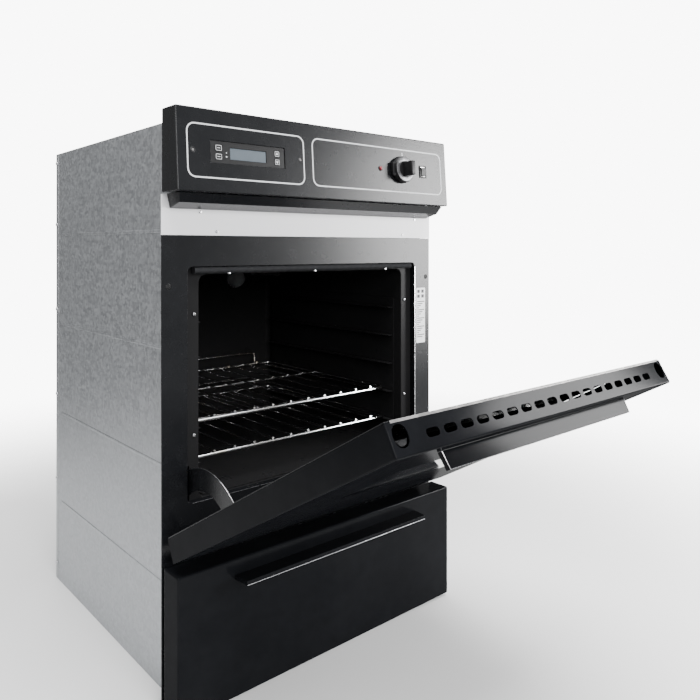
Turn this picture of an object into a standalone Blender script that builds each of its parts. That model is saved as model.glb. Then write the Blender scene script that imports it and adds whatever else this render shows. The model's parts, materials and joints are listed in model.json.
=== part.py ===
"""A 24 inch built-in gas oven with a drop-down broiler below it, its oven door part open.

Lengths are in inches and are turned into metres as each piece is made. x is across, from the
oven's middle. y is the depth behind the broiler door's front face. z is the height above the
broiler door's bottom edge. The row's origin is the middle of the base's underside.
"""

import math

import bmesh
import bpy
from mathutils import Euler, Vector

IN = 0.0254
SHEET = 0.05
GAP = 0.015

# The row's origin, in the oven's own lengths.
ORIGIN = (0.0, 13.05, -0.2)

# Case and front frame.
FRONT_HALF = 12.0
CASE_HALF = 11.0
FRAME_FRONT = 2.05
FRAME_SHEET = 0.06
FRAME_TOP = 28.79
HEM_X = (11.2, 11.99)
RAIL_HALF = 12.04
CASE_FRONT = FRAME_FRONT + FRAME_SHEET + GAP
CASE_BACK = 24.0
CASE_Z = (ORIGIN[2], 36.0)
FLANGE_SCREW_X = 11.57
FLANGE_SCREW_HEIGHTS = (4.4, 25.63)
FLANGE_SCREW_RADIUS = 0.19

# Oven opening and cavity.
OPENING_HALF = 10.27
OPENING_Z = (12.0, 26.84)
LIP_CORNER = 0.37
LINER_HALF = 9.2
LINER_FRONT = 2.6
LINER_BACK = 21.5
LINER_Z = (11.95, 26.3)
LINER_CORNER = 0.5
LINER_FLANGE_HALF = 10.5
LINER_FLANGE_Z = (10.9, 27.2)
LAMP = (5.2, 25.0)
LAMP_HALF = 0.9
LAMP_DEPTH = 1.1
BULB = (7.3, 25.5)
BULB_LENGTH = 4.6
GASKET_HALF = 9.8
GASKET_Y = (1.93, 2.5)
GASKET_Z = (26.36, 26.8)
FLOOR_SLOT_X = 8.35
FLOOR_SLOT_STARTS = (4.6, 8.4, 12.2, 16.0)
FLOOR_SLOT_LENGTH = 2.2

# Racks and their guides.
RACK_LEVELS = [14.1 + 2.3 * step for step in range(5)]
RACK_HALF = 8.85
RACK_FRONT = 4.1
RACK_BACK = 20.7
RACK_ROD = 0.115
RACK_WIRE = 0.085
RACK_WIRE_PITCH = 1.6
RACK_WIRES = 10
RACK_CROSS = 13.3
RACK_STOP = 1.15
RACK_STOP_HALF = 7.0
GUIDE_FRONT = 3.3
GUIDE_X = (9.08, 9.14)
LEDGE_X = (8.62, 9.11)

# Burner, under the oven's floor.
BURNER_Y = (3.6, 19.4)
BURNER_HEIGHT = 10.3
BURNER_RADIUS = 0.7
SPREADER_Y = (4.4, 19.8)
SPREADER_Z = (11.25, 11.3)
SPREADER_POSTS = (6.0, 12.0, 18.0)

# Broiler compartment.
BROILER_OPENING_Z = (0.95, 8.2)
BROILER_Z = (1.1, 8.5)
PAN_HALF = 8.0
PAN_RIM_HALF = 8.8
PAN_Y = (3.0, 18.6)
PAN_Z = (2.9, 4.6)

# Oven door, as it stands when closed, and its hinge.
DOOR_PIVOT = (0.0, 0.1, 9.71)
DOOR_OPEN = 60.5
DOOR_HALF = 11.94
DOOR_Y = (-0.062, 1.484)
DOOR_Z = (8.9, 30.37)
DOOR_SLOTS = 18
DOOR_SLOT_PITCH = 1.11
DOOR_SLOT_SIZE = (0.82, 0.38)
DOOR_SLOT_Y = 0.64
DOOR_CORNER_HOLE_X = 11.28
DOOR_WINDOW_HALF = 7.0
DOOR_WINDOW_Z = (19.4, 25.4)
ARM_X = (10.0, 10.1)
ARM_RADII = (3.5, 4.85)
ARM_ANGLES = (4.0, 129.0)
HINGE_X = (10.6, 10.75)
PIN_RADIUS = 0.05
PIN_SEAT = 0.065

# Broiler door and its hinge.
BROILER_PIVOT = (0.0, 0.3, 0.4)
BROILER_DOOR_HALF = 12.0
BROILER_DOOR_Y = (0.0, 1.75)
BROILER_DOOR_Z = (0.0, 8.63)
HANDLE_HALF = 8.1
HANDLE_LIP = 0.28
OVEN_HANDLE_DEPTH = 0.85
OVEN_HANDLE_TOP = 29.15
BROILER_HANDLE_DEPTH = 1.2
BROILER_HANDLE_TOP = 7.66

# Control panel. Its front leans back, and the controls are placed on that leaning plane.
PANEL_Z = (31.39, 36.52)
PANEL_SETBACK = 0.352
PANEL_BACK = 2.09
PANEL_LEAN = math.atan2(PANEL_SETBACK, PANEL_Z[1] - PANEL_Z[0])
CLOCK_X = (-9.7, -4.15)
CLOCK_HEIGHTS = (33.25, 34.6)
WINDOW_X = (-8.31, -5.6)
WINDOW_HEIGHTS = (33.5, 34.25)
BUTTON_COLUMNS = {"left": (-9.13, 0.52), "right": (-4.76, 0.44)}
BUTTON_ROWS = {"upper": 34.17, "lower": 33.63}
BUTTON_HEIGHT = 0.42
KNOB = (6.8, 33.97)
KNOB_RADIUS = 1.035
KNOB_DEPTHS = (-0.05, -0.46)
GRIP_HALF = (0.24, 0.51)
GRIP_DEPTHS = (-1.33, -0.475)
INDICATOR = (4.6, 33.94)
SWITCH = (9.19, 33.99)
SWITCH_SIZE = (0.52, 0.72)
ROCKER_TILT = 7.0

COLOURS = {
    "black_enamel": ((0.035, 0.037, 0.04, 1), 0.25, 0.0),
    "white_enamel": ((0.82, 0.82, 0.84, 1), 0.35, 0.0),
    "galvanised": ((0.62, 0.64, 0.66, 1), 0.4, 1.0),
    "cavity_enamel": ((0.012, 0.012, 0.013, 1), 0.15, 0.0),
    "chrome": ((0.8, 0.8, 0.82, 1), 0.12, 1.0),
    "black_plastic": ((0.02, 0.02, 0.022, 1), 0.4, 0.0),
    "steel": ((0.5, 0.5, 0.52, 1), 0.35, 1.0),
    "brass": ((0.72, 0.55, 0.25, 1), 0.3, 1.0),
    "fibreglass": ((0.78, 0.72, 0.45, 1), 0.95, 0.0),
    "rubber": ((0.05, 0.05, 0.052, 1), 0.8, 0.0),
    "display": ((0.25, 0.29, 0.32, 1), 0.2, 0.0),
    "red_lens": ((0.45, 0.02, 0.04, 1), 0.2, 0.0),
    "dark_glass": ((0.01, 0.01, 0.012, 1), 0.05, 0.0),
    "lamp_glass": ((0.75, 0.78, 0.8, 1), 0.1, 0.0),
}


# ---------------------------------------------------------------- scene and helpers


def clear_scene():
    for old in list(bpy.data.objects):
        bpy.data.objects.remove(old, do_unlink=True)


def new_collection(name):
    collection = bpy.data.collections.new(name)
    bpy.context.scene.collection.children.link(collection)
    return collection


def material(node_name, finish):
    """The piece's own Principled material."""
    colour, roughness, metallic = COLOURS[finish]
    made = bpy.data.materials.new(node_name)
    made.use_nodes = True
    shader = made.node_tree.nodes["Principled BSDF"]
    shader.inputs["Base Color"].default_value = colour
    shader.inputs["Roughness"].default_value = roughness
    shader.inputs["Metallic"].default_value = metallic
    made.diffuse_color = colour
    return made


class Frame:
    """An empty that pieces hang from. Lengths given to a piece are measured from its home."""

    def __init__(self, name, at, home, turn=0.0, parent=None):
        self.home = Vector(home)
        self.empty = bpy.data.objects.new(name, None)
        self.empty.empty_display_size = 0.03
        PARTS.objects.link(self.empty)
        self.empty.location = at
        self.empty.rotation_euler = Euler((turn, 0.0, 0.0))
        if parent:
            self.empty.parent = parent.empty

    def local(self, point):
        return (Vector(point) - self.home) * IN


def in_row(point):
    """A place in the oven's lengths, as metres from the row's origin."""
    return (Vector(point) - Vector(ORIGIN)) * IN


def up_panel(height):
    """The distance up the leaning panel of a point at this height."""
    return (height - PANEL_Z[0]) / math.cos(PANEL_LEAN)


def add_object(name, frame, mesh, finish):
    made = bpy.data.objects.new(name, mesh)
    made.parent = frame.empty
    if finish:
        PARTS.objects.link(made)
        mesh.materials.append(material(name, finish))
    else:
        CUTTERS.objects.link(made)
        made.hide_render = True
        made.display_type = "WIRE"
    return made


def mesh_from(bm, name):
    bmesh.ops.recalc_face_normals(bm, faces=bm.faces)
    mesh = bpy.data.meshes.new(name)
    bm.to_mesh(mesh)
    bm.free()
    return mesh


def cube_between(frame, low, high):
    """A bmesh box between two corners."""
    low, high = frame.local(low), frame.local(high)
    bm = bmesh.new()
    bmesh.ops.create_cube(bm, size=1.0)
    bmesh.ops.scale(bm, vec=high - low, verts=bm.verts)
    bmesh.ops.translate(bm, vec=(low + high) / 2, verts=bm.verts)
    return bm


def block(name, frame, x, y, z, finish=None, edge=0.0):
    """A plain box, with its edges rounded if edge is given."""
    bm = cube_between(frame, (x[0], y[0], z[0]), (x[1], y[1], z[1]))
    made = add_object(name, frame, mesh_from(bm, name), finish)
    if edge:
        rounding = made.modifiers.new("edges", "BEVEL")
        rounding.width = edge * IN
        rounding.segments = 2
    return made


def rod(name, frame, start, end, radius, finish=None, sides=16, end_radius=None):
    """A round bar, or a cone if end_radius is given."""
    start, end = frame.local(start), frame.local(end)
    bm = bmesh.new()
    bmesh.ops.create_cone(
        bm,
        cap_ends=True,
        segments=sides,
        radius1=radius * IN,
        radius2=(radius if end_radius is None else end_radius) * IN,
        depth=(end - start).length,
    )
    turn = Vector((0, 0, 1)).rotation_difference(end - start).to_matrix()
    bmesh.ops.rotate(bm, cent=(0, 0, 0), matrix=turn, verts=bm.verts)
    bmesh.ops.translate(bm, vec=(start + end) / 2, verts=bm.verts)
    mesh = mesh_from(bm, name)
    made = add_object(name, frame, mesh, finish)
    mesh.shade_smooth()
    mesh.set_sharp_from_angle(angle=math.radians(35))
    return made


def bake_curve(curve, name, frame, matrix, finish):
    """The curve's solid as a mesh object, with its caps welded."""
    holder = bpy.data.objects.new(name + "_curve", curve)
    bpy.context.scene.collection.objects.link(holder)
    graph = bpy.context.evaluated_depsgraph_get()
    mesh = bpy.data.meshes.new_from_object(holder.evaluated_get(graph))
    bpy.data.objects.remove(holder, do_unlink=True)
    bm = bmesh.new()
    bm.from_mesh(mesh)
    bmesh.ops.remove_doubles(bm, verts=bm.verts, dist=1e-6)
    bmesh.ops.recalc_face_normals(bm, faces=bm.faces)
    bm.to_mesh(mesh)
    bm.free()
    mesh.name = name
    mesh.transform(matrix)
    return add_object(name, frame, mesh, finish)


def poly_spline(curve, points, cyclic):
    spline = curve.splines.new("POLY")
    spline.points.add(len(points) - 1)
    for target, point in zip(spline.points, points):
        target.co = (*[value * IN for value in point], *([0.0] * (3 - len(point))), 1.0)
    spline.use_cyclic_u = cyclic


def tube(name, frame, points, radius, finish=None, cyclic=False, resolution=1):
    """A round wire or pipe along straight runs."""
    curve = bpy.data.curves.new(name, "CURVE")
    curve.dimensions = "3D"
    curve.bevel_depth = radius * IN
    curve.bevel_resolution = resolution
    curve.use_fill_caps = not cyclic
    poly_spline(curve, [Vector(point) - frame.home for point in points], cyclic)
    return bake_curve(curve, name, frame, Euler((0, 0, 0)).to_matrix().to_4x4(), finish)


def rectangle(x, z, corner=0.0, steps=3):
    """The outline of a rectangle with round corners."""
    if not corner:
        return [(x[0], z[0]), (x[1], z[0]), (x[1], z[1]), (x[0], z[1])]
    centres = (
        (x[1] - corner, z[0] + corner, -90),
        (x[1] - corner, z[1] - corner, 0),
        (x[0] + corner, z[1] - corner, 90),
        (x[0] + corner, z[0] + corner, 180),
    )
    outline = []
    for across, height, first in centres:
        for step in range(steps + 1):
            angle = math.radians(first + 90 * step / steps)
            outline.append(
                (across + corner * math.cos(angle), height + corner * math.sin(angle))
            )
    return outline


PLANES = {
    "front": (Euler((math.pi / 2, 0, 0)), 1),
    "flat": (Euler((0, 0, 0)), 2),
    "side": (Euler((math.pi / 2, 0, math.pi / 2)), 0),
}


def plate(name, frame, outlines, across, finish=None, plane="front"):
    """A flat sheet with holes: the first outline is its edge, across is its span in thickness."""
    turn, axis = PLANES[plane]
    curve = bpy.data.curves.new(name, "CURVE")
    curve.dimensions = "2D"
    curve.fill_mode = "BOTH"
    curve.extrude = (across[1] - across[0]) / 2 * IN
    for outline in outlines:
        poly_spline(curve, outline, True)
    shift = -frame.home.copy()
    shift[axis] += (across[0] + across[1]) / 2
    matrix = turn.to_matrix().to_4x4()
    matrix.translation = shift * IN
    return bake_curve(curve, name, frame, matrix, finish)


def shell(name, frame, x, y, z, open_sides, finish, thickness=SHEET, corner=0.0, outward=True):
    """A box of sheet metal with some of its sides left off. Corners are rounded if corner is given."""
    bm = cube_between(frame, (x[0], y[0], z[0]), (x[1], y[1], z[1]))
    bm.normal_update()
    gone = [
        face
        for face in bm.faces
        if any(face.normal.dot(Vector(side)) > 0.9 for side in open_sides)
    ]
    bmesh.ops.delete(bm, geom=gone, context="FACES")
    if corner:
        inner = [edge for edge in bm.edges if len(edge.link_faces) == 2]
        bmesh.ops.bevel(
            bm, geom=inner, offset=corner * IN, segments=3, profile=0.5, affect="EDGES"
        )
    mesh = bpy.data.meshes.new(name)
    bm.to_mesh(mesh)
    bm.free()
    made = add_object(name, frame, mesh, finish)
    wall = made.modifiers.new("sheet", "SOLIDIFY")
    wall.thickness = thickness * IN
    wall.offset = 1.0 if outward else -1.0
    wall.use_even_offset = True
    return made


def cut(target, *cutters):
    for cutter in cutters:
        hole = target.modifiers.new(cutter.name, "BOOLEAN")
        hole.operation = "DIFFERENCE"
        hole.object = cutter


def join(target, *others):
    """Unites pieces with the target. Each overlaps it."""
    for other in others:
        weld = target.modifiers.new(other.name, "BOOLEAN")
        weld.operation = "UNION"
        weld.object = other


def both_sides(span):
    """The right and left copies of a span in x."""
    return {"right": span, "left": (-span[1], -span[0])}


BACK, FRONT, TOP = (0, 1, 0), (0, -1, 0), (0, 0, 1)


# ---------------------------------------------------------------- the case


def make_case(case):
    inside = CASE_HALF - SHEET - GAP
    for side, x in both_sides((CASE_HALF - SHEET, CASE_HALF)).items():
        block(f"side_panel_{side}", case, x, (CASE_FRONT, CASE_BACK), CASE_Z, "galvanised")
    across = (-inside, inside)
    depth = (CASE_FRONT, CASE_BACK - SHEET - GAP)
    block("base_pan", case, across, depth, (CASE_Z[0], CASE_Z[0] + SHEET), "galvanised")
    block("top_panel", case, across, depth, (CASE_Z[1] - SHEET, CASE_Z[1]), "galvanised")
    block("back_panel", case, across, (CASE_BACK - SHEET, CASE_BACK), CASE_Z, "galvanised")


def make_front_frame(case):
    """The black face that overlaps the cabinet: hemmed sides, and a lip round the oven opening."""
    across = (FRAME_FRONT, FRAME_FRONT + FRAME_SHEET)
    face = block("front_frame", case, (-FRONT_HALF, FRONT_HALF), across, (0.0, FRAME_TOP), "black_enamel")
    outer = OPENING_HALF + FRAME_SHEET
    lip_outline = rectangle(
        (-outer, outer), (OPENING_Z[0] - FRAME_SHEET, OPENING_Z[1] + FRAME_SHEET), LIP_CORNER + FRAME_SHEET
    )
    lip = plate("opening_lip", case, [lip_outline], (FRAME_FRONT + 0.01, LINER_FRONT - GAP - SHEET))
    hem_y = (across[1] - 0.01, across[1] + FRAME_SHEET)
    hems = [
        block(f"hem_{side}", case, x, hem_y, (0.01, FRAME_TOP - 0.01))
        for side, x in both_sides(HEM_X).items()
    ]
    join(face, lip, *hems)
    through = (FRAME_FRONT - 0.5, LINER_FRONT + 0.5)
    openings = [
        plate(name, case, [rectangle((-OPENING_HALF, OPENING_HALF), z, corner)], through)
        for name, z, corner in (
            ("oven_opening", OPENING_Z, LIP_CORNER),
            ("broiler_opening", BROILER_OPENING_Z, 0.3),
        )
    ]
    screw_holes = [
        rod(f"screw_hole_{x}_{z}", case, (x, through[0], z), (x, through[1], z), FLANGE_SCREW_RADIUS)
        for x in (-FLANGE_SCREW_X, FLANGE_SCREW_X)
        for z in FLANGE_SCREW_HEIGHTS
    ]
    cut(face, *openings, *screw_holes)
    top = (FRAME_TOP + GAP, PANEL_Z[0] - 0.1)
    block("upper_front_rail", case, (-RAIL_HALF, RAIL_HALF), across, top, "white_enamel")


# ---------------------------------------------------------------- the oven


def make_liner(case):
    """The enamelled cavity: a box with its front off, joined to a flat flange round its mouth."""
    liner = shell(
        "oven_liner",
        case,
        (-LINER_HALF, LINER_HALF),
        (LINER_FRONT, LINER_BACK),
        LINER_Z,
        [FRONT],
        "cavity_enamel",
        corner=LINER_CORNER,
    )
    flange = plate(
        "liner_flange",
        case,
        [
            rectangle((-LINER_FLANGE_HALF, LINER_FLANGE_HALF), LINER_FLANGE_Z),
            rectangle(
                (-LINER_HALF - SHEET / 2, LINER_HALF + SHEET / 2),
                (LINER_Z[0] - SHEET / 2, LINER_Z[1] + SHEET / 2),
                LINER_CORNER,
            ),
        ],
        (LINER_FRONT - SHEET / 2, LINER_FRONT + SHEET / 2),
    )
    join(liner, flange)
    arm_slots = [
        block(f"arm_slot_{side}", case, x, (LINER_FRONT - 0.2, LINER_FRONT + 0.2), (11.6, 14.2))
        for side, x in both_sides((ARM_X[0] - 0.12, ARM_X[1] + 0.12)).items()
    ]
    burner_hole = block(
        "burner_hole", case, (-8.0, 8.0), (4.2, 20.0), (LINER_Z[0] - 0.3, LINER_Z[0] + 0.2)
    )
    through = [
        rod(name, case, (x, LINER_BACK - 0.4, z), (x, LINER_BACK + 0.4, z), radius)
        for name, (x, z), radius in (("lamp_hole", LAMP, 0.62), ("bulb_hole", BULB, 0.2))
    ]
    cut(liner, *arm_slots, burner_hole, *through)


def make_oven_floor(case):
    """The lift-out floor over the burner, with slots down both sides."""
    slots = [
        rectangle((x - 0.2, x + 0.2), (first, first + FLOOR_SLOT_LENGTH), 0.15, 2)
        for x in (-FLOOR_SLOT_X, FLOOR_SLOT_X)
        for first in FLOOR_SLOT_STARTS
    ]
    half = LINER_HALF - LINER_CORNER
    outline = rectangle((-half, half), (LINER_FRONT + 0.3, LINER_BACK - LINER_CORNER), 0.3, 2)
    across = (LINER_Z[0] + 0.02, LINER_Z[0] + 0.08)
    plate("oven_floor", case, [outline, *slots], across, "cavity_enamel", "flat")


def make_guides(case):
    """A wall plate with a ledge under each rack level."""
    for side, sign in (("right", 1), ("left", -1)):
        x = sorted((sign * GUIDE_X[0], sign * GUIDE_X[1]))
        guide = block(
            f"rack_guide_{side}",
            case,
            x,
            (GUIDE_FRONT, RACK_BACK),
            (RACK_LEVELS[0] - 0.5, RACK_LEVELS[-1] + 0.6),
            "cavity_enamel",
        )
        ledges = []
        for number, level in enumerate(RACK_LEVELS):
            top = level - RACK_ROD - 0.02
            ledges.append(
                block(
                    f"ledge_{side}_{number}",
                    case,
                    sorted((sign * LEDGE_X[0], sign * LEDGE_X[1])),
                    (GUIDE_FRONT + 0.1, RACK_BACK - 0.1),
                    (top - 0.06, top),
                )
            )
        join(guide, *ledges)


def make_rack(name, level):
    """A wire rack: a rod frame, a cross rod and wires on top. Its stop stands on the back rod."""
    slide = Frame(f"{name}_slide", in_row((0, RACK_FRONT, level)), (0, RACK_FRONT, level))
    loop = rectangle((-RACK_HALF, RACK_HALF), (RACK_FRONT, RACK_BACK), 0.45, 2)
    rack = tube(name, slide, [(x, y, level) for x, y in loop], RACK_ROD, "chrome", cyclic=True)
    ends = [(-RACK_HALF, RACK_CROSS, level), (RACK_HALF, RACK_CROSS, level)]
    cross = tube(f"{name}_cross", slide, ends, RACK_ROD * 0.95)
    top = level + RACK_ROD + RACK_WIRE * 0.55
    wires = []
    for number in range(RACK_WIRES):
        x = (number - (RACK_WIRES - 1) / 2) * RACK_WIRE_PITCH
        ends = [(x, RACK_FRONT - 0.12, top), (x, RACK_BACK + 0.05, top)]
        wires.append(tube(f"{name}_wire_{number}", slide, ends, RACK_WIRE))
    join(rack, cross, *wires)
    foot, height = level + RACK_ROD + GAP, level + RACK_STOP
    left, right = -RACK_STOP_HALF, RACK_STOP_HALF
    corners = [(left, foot), (left, height), (right, height), (right, foot)]
    path = [(x, RACK_BACK + 0.02, z) for x, z in corners]
    tube(f"{name}_stop", slide, path, RACK_WIRE * 1.1, "chrome")


def make_gasket(case):
    """The seal along the top of the opening."""
    block("door_gasket", case, (-GASKET_HALF, GASKET_HALF), GASKET_Y, GASKET_Z, "rubber", edge=0.12)


def make_lamp_and_bulb(case):
    x, z = LAMP
    lens = shell(
        "lamp_lens",
        case,
        (x - LAMP_HALF, x + LAMP_HALF),
        (LINER_BACK - LAMP_DEPTH, LINER_BACK - 0.03),
        (z - LAMP_HALF, z + LAMP_HALF),
        [BACK],
        "lamp_glass",
        thickness=0.08,
        corner=0.55,
        outward=False,
    )
    lens.data.shade_smooth()
    rod("lamp_socket", case, (x, LINER_BACK - 0.5, z), (x, LINER_BACK + 1.5, z), 0.5, "steel")
    bulb_start = (BULB[0], LINER_BACK - BULB_LENGTH, BULB[1])
    rod("sensing_bulb", case, bulb_start, (BULB[0], LINER_BACK - 0.1, BULB[1]), 0.14, "steel", sides=10)
    tube(
        "capillary_tube",
        case,
        [
            (BULB[0], LINER_BACK - 0.07, BULB[1]),
            (BULB[0], LINER_BACK + 1.1, BULB[1]),
            (BULB[0], LINER_BACK + 1.4, BULB[1] + 0.4),
            (BULB[0], LINER_BACK + 1.4, 32.6),
            (BULB[0], LINER_BACK + 1.0, 33.0),
            (BULB[0], 2.5, 33.0),
        ],
        0.05,
        "brass",
    )


def make_insulation(case):
    """The blanket over the liner's sides and roof, behind the hinge arms."""
    low, high = LINER_FLANGE_Z[0] + 1.0, LINER_Z[1] + 1.3
    blanket = block("insulation_blanket", case, (-10.85, 10.85), (5.6, 21.7), (low, high), "fibreglass")
    hollow = block(
        "blanket_hollow", case, (-9.32, 9.32), (5.0, 22.5), (low - 0.5, LINER_Z[1] + 0.12)
    )
    cut(blanket, hollow)


# ---------------------------------------------------------------- burner and gas


def make_burner(case):
    """A burner tube with a spreader above it and a bent inlet that the gas valve feeds."""
    start, end = ((0, y, BURNER_HEIGHT) for y in BURNER_Y)
    burner = rod("oven_burner", case, start, end, BURNER_RADIUS, "steel")
    spreader = block("flame_spreader", case, (-4.6, 4.6), SPREADER_Y, SPREADER_Z)
    post_z = (BURNER_HEIGHT + BURNER_RADIUS - 0.2, SPREADER_Z[0] + 0.02)
    posts = [
        block(f"spreader_post_{number}", case, (-0.1, 0.1), (y - 0.3, y + 0.3), post_z)
        for number, y in enumerate(SPREADER_POSTS)
    ]
    inlet = tube(
        "burner_inlet",
        case,
        [
            (-2.1, 22.7, 10.42),
            (-2.1, 22.7, 11.0),
            (-1.8, 22.7, 11.3),
            (-0.3, 22.7, 11.3),
            (0, 22.5, 11.1),
            (0, 22.2, 10.5),
            (0, 21.9, BURNER_HEIGHT),
            (0, BURNER_Y[1] - 0.3, BURNER_HEIGHT),
        ],
        0.25,
        resolution=2,
    )
    join(burner, spreader, *posts, inlet)
    block("igniter", case, (0.75, 1.45), (8.0, 11.2), (10.1, 10.7), "white_enamel", edge=0.06)
    block("gas_valve", case, (-3.2, -1.0), (21.9, 23.5), (8.7, 10.4), "brass", edge=0.15)


# ---------------------------------------------------------------- the broiler


def make_broiler(case):
    liner = shell(
        "broiler_liner",
        case,
        (-LINER_HALF, LINER_HALF),
        (LINER_FRONT - 0.3, LINER_BACK),
        BROILER_Z,
        [FRONT, TOP],
        "cavity_enamel",
        corner=0.3,
    )
    rails = [
        block(f"pan_rail_{side}", case, x, (2.8, 20.6), (PAN_Z[1] - 0.1, PAN_Z[1] - 0.04))
        for side, x in both_sides((8.3, LINER_HALF + 0.02)).items()
    ]
    join(liner, *rails)


def make_pan(case):
    slide = Frame("broiler_pan_slide", in_row((0, PAN_Y[0], PAN_Z[0])), (0, PAN_Y[0], PAN_Z[0]))
    pan = shell("broiler_pan", slide, (-PAN_HALF, PAN_HALF), PAN_Y, PAN_Z, [TOP], "cavity_enamel", 0.06, 0.4)
    rim = plate(
        "pan_rim",
        slide,
        [
            rectangle((-PAN_RIM_HALF, PAN_RIM_HALF), (PAN_Y[0] - 0.35, PAN_Y[1] + 0.35), 0.4, 2),
            rectangle((-PAN_HALF - 0.03, PAN_HALF + 0.03), (PAN_Y[0] - 0.03, PAN_Y[1] + 0.03), 0.4, 3),
        ],
        (PAN_Z[1] - 0.02, PAN_Z[1] + 0.04),
        plane="flat",
    )
    join(pan, rim)
    slots = [
        rectangle((-6.6, 6.6), (first, first + 0.4), 0.18, 2)
        for first in [PAN_Y[0] + 1.2 + 1.0 * step for step in range(14)]
    ]
    outline = rectangle((-PAN_HALF - 0.4, PAN_HALF + 0.4), (PAN_Y[0] - 0.15, PAN_Y[1] + 0.15), 0.4, 2)
    plate("broiler_grid", slide, [outline, *slots], (PAN_Z[1] + 0.06, PAN_Z[1] + 0.12), "chrome", "flat")


# ---------------------------------------------------------------- doors


def make_handle(name, door, face, top, depth):
    """A ledge to pull by: a shelf with a turned-down lip and closed ends, open below and behind."""
    bm = cube_between(
        door, (-HANDLE_HALF, face - depth, top - HANDLE_LIP), (HANDLE_HALF, face - GAP, top)
    )
    bm.normal_update()
    gone = [f for f in bm.faces if f.normal.y > 0.9 or f.normal.z < -0.9]
    bmesh.ops.delete(bm, geom=gone, context="FACES")
    middle = door.local((0, face - depth / 2, 0)).y
    for vert in bm.verts:
        if vert.co.y < middle:
            vert.co.x *= (HANDLE_HALF - 0.12) / HANDLE_HALF
    mesh = bpy.data.meshes.new(name)
    bm.to_mesh(mesh)
    bm.free()
    made = add_object(name, door, mesh, "black_enamel")
    wall = made.modifiers.new("sheet", "SOLIDIFY")
    wall.thickness = SHEET * IN
    wall.offset = -1.0
    wall.use_even_offset = True


def hinge_notches(prefix, door, pivot, inner):
    """Cutters that let the cabinet's hinge brackets pass the door's inner face and bottom edge."""
    return [
        block(
            f"{prefix}_notch_{side}",
            door,
            x,
            (pivot[1] - 0.1, inner + 0.3),
            (pivot[2] - 1.2, pivot[2] + 0.42),
        )
        for side, x in both_sides((HINGE_X[0] - 0.1, HINGE_X[1] + 0.1)).items()
    ]


def hinge_pins(prefix, door, pivot, outside):
    for side, sign in (("right", 1), ("left", -1)):
        rod(
            f"{prefix}_{side}",
            door,
            (sign * (HINGE_X[0] - 0.25), pivot[1], pivot[2]),
            (sign * outside, pivot[1], pivot[2]),
            PIN_RADIUS,
            "steel",
        )


def hinge_brackets(prefix, case, pivot):
    """Hooks fixed to the front frame that the door's pins drop into from the front."""
    for side, x in both_sides(HINGE_X).items():
        reach, height = (pivot[1] - 0.07, FRAME_FRONT - GAP), (pivot[2] - 0.085, pivot[2] + 0.26)
        hook = plate(f"{prefix}_{side}", case, [rectangle(reach, height, 0.03, 2)], x, "steel", "side")
        seat = rod(
            f"{prefix}_seat_{side}",
            case,
            (x[0] - 0.1, pivot[1], pivot[2]),
            (x[1] + 0.1, pivot[1], pivot[2]),
            PIN_SEAT,
        )
        cut(hook, seat)


def arm_outline(pivot):
    """A quadrant of flat bar about the hinge."""
    first, last = ARM_ANGLES
    steps = 20
    angles = [math.radians(first + (last - first) * step / steps) for step in range(steps + 1)]
    inner, outer = ARM_RADII
    outline = [(pivot[1] + outer * math.sin(a), pivot[2] + outer * math.cos(a)) for a in angles]
    angles.reverse()
    outline += [(pivot[1] + inner * math.sin(a), pivot[2] + inner * math.cos(a)) for a in angles]
    return outline


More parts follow.
